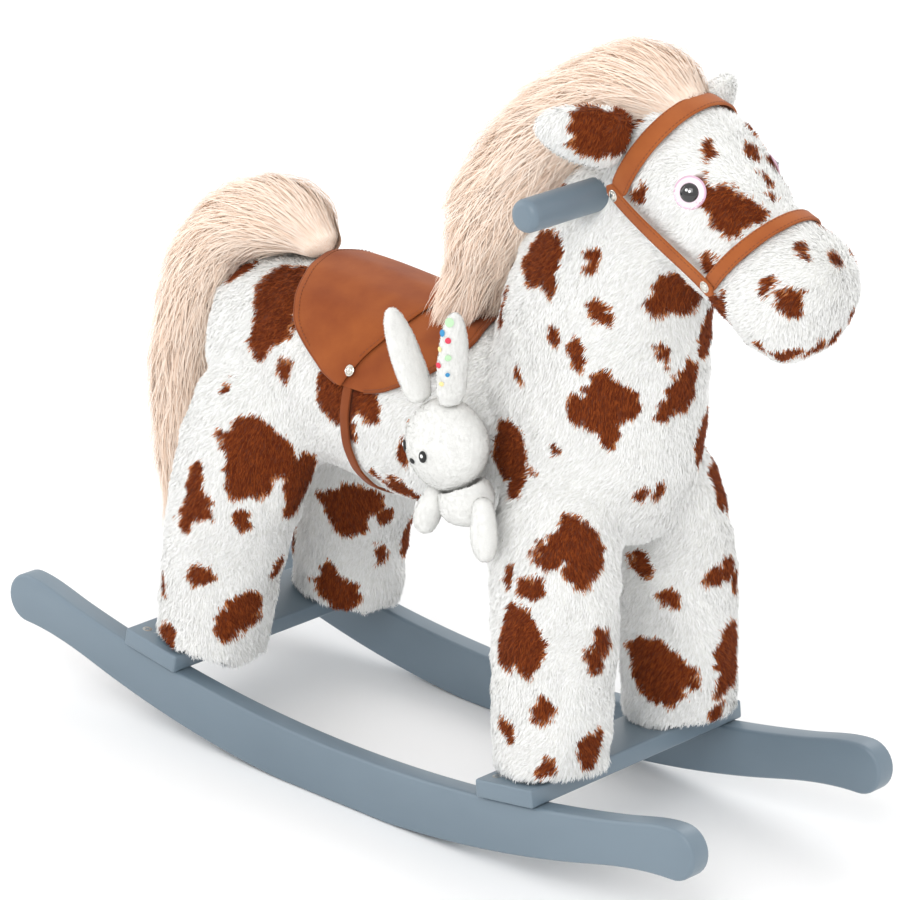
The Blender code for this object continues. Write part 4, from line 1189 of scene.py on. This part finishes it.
def long_fur(name, path, length, body, seed):
    """Strands that root inside a core, flow along it and lift off its surface."""
    rng = np.random.default_rng(seed)
    count = int(LONG_COUNT * (1.0))
    spine, total = spine_of(path)
    rows, clumps = 6, count // 26
    clump = rng.integers(0, clumps, count)
    clump_at = rng.uniform(-0.06, 0.98, clumps)
    clump_angle = rng.uniform(0, math.tau, clumps)
    clump_lean = rng.normal(size=clumps) * 0.22
    at = np.clip(clump_at[clump] + rng.normal(size=count) * 0.028, 0.0, 0.985)
    angle = clump_angle[clump] + rng.normal(size=count) * 0.28
    reach = length * rng.uniform(0.65, 1.15, count)
    root = rng.uniform(0.84, 0.97, count)
    capping = rng.random(count) < 0.07
    root[capping] = np.sqrt(rng.random(capping.sum()))
    at[capping] = -LONG_CAP * np.sqrt(1 - root[capping] ** 2) / total
    lift = rng.uniform(0.05, 0.28, count)
    wisps = rng.random(count) < 0.14
    lift[wisps] += rng.uniform(0.05, 0.35, wisps.sum())
    marks = np.arange(len(spine)) / (len(spine) - 1)
    lines = np.empty((count, rows, 3))
    outs = np.empty((count, rows, 3))
    slope = np.gradient(spine[:, :2], axis=0)
    slope /= np.linalg.norm(slope, axis=1, keepdims=True)
    for r in range(rows):
        u = r / (rows - 1)
        t = at + reach * u / total
        capped = np.clip(t, 0, 1)
        x, z, wide, deep = (np.interp(capped, marks, spine[:, k]) for k in range(4))
        dx, dz = (np.interp(capped, marks, slope[:, k]) for k in range(2))
        past = (t - capped) * total
        gather = 1 - 0.45 * u
        spread = clump_angle[clump] + (angle - clump_angle[clump]) * gather
        spread = spread + clump_lean[clump] * u
        bulge = root + lift * np.sin(u * math.pi * 0.62) + 0.05 * u
        across = np.cos(spread) * wide * bulge
        rise = np.sin(spread) * deep * bulge
        lines[:, r, 0] = x + dx * past - dz * rise
        lines[:, r, 1] = across
        lines[:, r, 2] = z + dz * past + dx * rise
        outs[:, r, 0] = -dz * np.sin(spread)
        outs[:, r, 1] = np.cos(spread)
        outs[:, r, 2] = dx * np.sin(spread)
    curl = wander(lines[:, -1], 0.03, seed + 1) * 0.004
    lines += curl[:, None, :] * (np.linspace(0, 1, rows) ** 2)[None, :, None]
    along = np.gradient(lines, axis=1)
    sides = unit(np.cross(along, outs))
    widths = np.array([0.8, 1.0, 1.0, 0.9, 0.7, 0.0]) * LONG_WIDTH
    tints = rng.choice(3, len(lines), p=[0.5, 0.36, 0.14])
    for part, picked in enumerate(np.array_split(np.arange(count), math.ceil(count / 20000))):
        chosen = (lines[picked], sides[picked], widths, tints[picked], LONG_PILE, outs[picked])
        finish_piece(ribbons(f"{name}_{part + 1}", *chosen), body, "peach_fur")


def tuck(core, limit_x):
    """Draws the core's front end back, so that the strands' first ring covers it."""
    points = vectors_of(core.data, "co")
    ahead = points[:, 0] > limit_x
    points[ahead, 0] = limit_x + (points[ahead, 0] - limit_x) * 0.15
    points[ahead, 2] -= 0.004
    set_coordinates(core.data, points)


def build_mane_and_tail():
    for node, path, length, body, seed in (
        ("mane", MANE_PATH, 0.062, "horse", 31),
        ("tail", TAIL_PATH, 0.066, "tail", 41),
    ):
        finish = ("peach_fur", LONG_CORE, (0.0035, 8), (0.0055, 0.0012), 0.5)
        core = stuffed(node + "_core", node, body, *finish)
        tuck(core, path[0][0] + SHIFT_X - 0.006)
        long_fur(node + "_fur", path, length, body, seed)


# ---------------------------------------------------------------- eyes
def build_eyes():
    disc = [(0.0, 0.0026), *domed(0.0118, 0.0006, 0.0022, (20, 38, 55, 70, 82, 90))]
    disc += [(0.0116, -0.0006), (0.0022, -0.0010), (0.0022, -0.012), (0, -0.012)]
    rim = [(0.0112, 0.0012), (0.0121, 0.0014), (0.0127, 0.0006), (0.0124, -0.0004)]
    rim += [(0.0112, -0.0006)]
    pupil = [*domed(0.0074, 0.0020, 0.0044, range(0, 91, 9)), (0.0074, 0.0016), (0, 0.0012)]
    shine = [*domed(0.0011, 0.0, 0.0003, (0, 30, 60, 90)), (0, -0.0004)]
    for side, sign in SIDES.items():
        place, normal = cast_from_side(*EYE, sign, -0.05)
        base = place - normal * 0.0012
        for name, profile, material, node in (
            ("eye_disc_", disc, EYE_RING, ["eye_washer_" + side]),
            ("eye_edge_", rim, EYE_RIM, []),
            ("eye_dome_", pupil, EYE_BLACK, ["eye_" + side]),
        ):
            piece = turned(name + side, profile, base, normal, [material])
            finish_piece(piece, "horse", "black_plastic", *node)
        # Painted highlights: two small white domes on each glossy pupil stand in for its reflections.
        for k, (dx, dz) in enumerate(((-0.0013, 0.0016), (0.0016, 0.0012))):
            name, spot = f"eye_glint_{side}_{k + 1}", base + normal * 0.0062 + Vector((dx, 0, dz))
            piece = turned(name, shine, spot, normal, [PAINTED_GLINT_WHITE], 16)
            finish_piece(piece, "horse", "black_plastic")


# ---------------------------------------------------------------- bunny
def loft(name, rings, materials, count=24):
    """A stuffed form through rings of (x, y, z, half width, half depth), rounded at both ends."""
    places = [Vector(r[:3]) for r in rings]
    bm = bmesh.new()
    loops = []
    for i, (*_, wide, thick) in enumerate(rings):
        ahead = places[min(i + 1, len(rings) - 1)] - places[max(i - 1, 0)]
        along = ahead.normalized()
        deep = along.cross(Vector((0, 1, 0))).normalized()
        across = deep.cross(along).normalized()
        loop = []
        for k in range(count):
            a = math.tau * k / count
            offset = across * math.cos(a) * wide + deep * math.sin(a) * thick
            loop.append(bm.verts.new(places[i] + offset))
        loops.append(loop)
    skin_rings(bm, loops)
    obj = from_bmesh(name, bm, materials)
    soft = obj.modifiers.new("soft", "SUBSURF")
    soft.levels = 2
    soft.render_levels = 2
    baked(obj)
    obj.data.shade_smooth()
    return obj


def velour_pile(name, obj, rng):
    """Very short upright pile, so that the outline isn't hard."""
    density, length = 900000, 0.0016
    points, normals = scatter(obj.data, density * (1.0), rng)
    lean = unit(np.cross(normals, rng.normal(size=points.shape)))
    size = length * rng.uniform(0.6, 1.1, (len(points), 1))
    tip = points + size * (normals * 0.5 + lean * 0.9)
    middle = points + size * (normals * 0.35 + lean * 0.4)
    lines = np.stack([points - normals * 0.0002, middle, tip], axis=1)
    sides, faced = each_row(np.cross(lean, normals)), each_row(normals)
    tints = rng.integers(0, len(VELOUR_PILE), len(points))
    widths = np.array([0.0006, 0.0005, 0.0])
    piece = ribbons(name, lines, sides, widths, tints, VELOUR_PILE, faced)
    return finish_piece(piece, "bunny", "bunny_plush")


BUNNY_CENTRE = Vector((0.0894, -0.107, 0.325))
BUNNY_FACE = Vector((-0.41, -0.91, 0.0)).normalized()


BUNNY_ARMS = {
    "right": metres(
        (84, -106, 290, 7, 7), (80, -110, 278, 10, 9.5), (75, -112, 262, 11.8, 11),
        (73, -112, 249, 6.2, 6.2),
    ),
    "left": metres(
        (130, -110, 294, 7, 7), (137, -116, 280, 10, 9.5), (142, -120, 262, 11.8, 11),
        (145, -120, 247, 6.2, 6.2),
    ),
}


def build_bunny():
    rng = np.random.default_rng(51)
    finish = ("bunny", "bunny_plush", VELOUR)
    fill = 0.85
    head_finish = (*finish, (0.0022, 8), (0.0010, 0.0005), fill)
    body_finish = (*finish, (0.0022, 6), (0.0030, 0.0005), fill)
    ear_finish = (*finish, (0.0016, 5), (0.0006, 0.0003), fill)
    skins = [stuffed("bunny_head_skin", "bunny_head", *head_finish)]
    skins.append(stuffed("bunny_body_skin", "bunny_body", *body_finish))
    for side, rings in BUNNY_ARMS.items():
        arm = loft("bunny_arm_" + side, rings, [VELOUR])
        skins.append(finish_piece(arm, "bunny", "bunny_plush"))
    for side in SIDES:
        skins.append(stuffed("bunny_ear_skin_" + side, "bunny_ear_" + side, *ear_finish))
    for skin in skins:
        velour_pile(skin.name + "_pile", skin, rng)
    build_bunny_face(skins[0])
    build_ear_dots(skins[-1])


def floss_oval(name, tree, look, size, material, lift, *nodes, tilt=0.0):
    """An embroidered oval on the bunny's head, in a direction from its centre; white ones on the eyes
    are painted highlights.
    """
    place, normal, _, _ = tree.ray_cast(BUNNY_CENTRE + look * 0.1, -look)
    upright = (Vector((0, 0, 1)) - normal * normal.z).normalized()
    level = upright.cross(normal)
    up = upright * math.cos(tilt) + level * math.sin(tilt)
    across = level * math.cos(tilt) - upright * math.sin(tilt)
    bm = bmesh.new()
    bmesh.ops.create_uvsphere(bm, u_segments=28, v_segments=14, radius=1.0)
    wide, high, thick = size
    turn = Matrix((across * wide, up * high, normal * thick)).transposed().to_4x4()
    bm.transform(Matrix.Translation(place + normal * lift) @ turn)
    return finish_piece(from_bmesh(name, bm, [material]), "bunny", "black_plastic", *nodes)


def build_bunny_face(head):
    tree = tree_of(head)
    sideways = BUNNY_FACE.cross(Vector((0, 0, 1)))
    pupil, glint, snout = (0.0036, 0.0050, 0.0012), (0.0013, 0.0016, 0.0006), (0.0032, 0.0022, 0.0012)
    for side, turn in (("right", 1), ("left", -1)):
        look = (BUNNY_FACE + sideways * 0.52 * turn + Vector((0, 0, -0.10))).normalized()
        node = "bunny_eye_" + side
        floss_oval("bunny_pupil_" + side, tree, look, pupil, BLACK_FLOSS, 0.0010, node, tilt=0.15)
        # Painted highlight: a small white oval over each embroidered eye.
        higher = (look + Vector((0, 0, 0.03)) + sideways * 0.01).normalized()
        floss_oval("bunny_glint_" + side, tree, higher, glint, PAINTED_GLINT_WHITE, 0.0021)
    look = (BUNNY_FACE + Vector((0, 0, -0.36))).normalized()
    floss_oval("bunny_snout", tree, look, snout, BLACK_FLOSS, 0.0010, "bunny_nose")


EAR_DOT_TONES = ("green", "blue", "red", "yellow", "green", "red", "blue", "yellow", "red")
EAR_DOTS = metres(  # (x, z, radius)
    (90.5, 431, 3.6), (87, 422, 2.8), (91, 417, 2.4), (86, 409, 2.2), (90.5, 403, 2.6),
    (85, 396, 2.4), (89, 389, 1.8), (85.5, 381, 2), (90, 376, 1.8),
)


def build_ear_dots(ear):
    """Printed dots on the lining of the left ear."""
    tree = tree_of(ear)
    out = Vector((-0.35, -0.94, 0)).normalized()
    for k, ((x, z, size), tone) in enumerate(zip(EAR_DOTS, EAR_DOT_TONES)):
        place, normal, _, _ = tree.ray_cast(Vector((x, -0.16, z)), -out)
        if place is None:
            continue
        profile = [(0, 0.0004), (size * 0.8, 0.0003), (size, 0.0)]
        profile += [(size * 0.9, -0.0004), (0, -0.0004)]
        at = place + normal * 0.0010
        dot = turned(f"ear_dot_{k + 1}", profile, at, normal, [DOTS[tone]], 20)
        finish_piece(dot, "bunny", "bunny_plush")


# ---------------------------------------------------------------- hidden frame pieces
def dress_hidden_nodes():
    """The frame's inner wood and its screws keep their solids and take real finishes."""
    for name, node in NODES.items():
        if node.hide_render:
            continue
        finish = STEEL if "screw" in name else PINE
        node.data.materials.clear()
        node.data.materials.append(finish)


def main():
    build_camera()
    build_stage()
    build_rockers()
    build_footboards()
    build_handle()
    body, plush_nodes = build_form()
    crown, nose, cheeks = bridle_paths()
    build_bridle(crown, nose, cheeks)
    build_eyes()
    build_saddle()
    girth = build_girth()
    straps = [(crown, 0.0095), (nose, 0.0070), *[(cheek, 0.0065) for cheek in cheeks.values()]]
    straps.append((girth, 0.0072))
    build_body(body, plush_nodes, straps)
    build_ears()
    build_mane_and_tail()
    build_bunny()
    dress_hidden_nodes()


main()
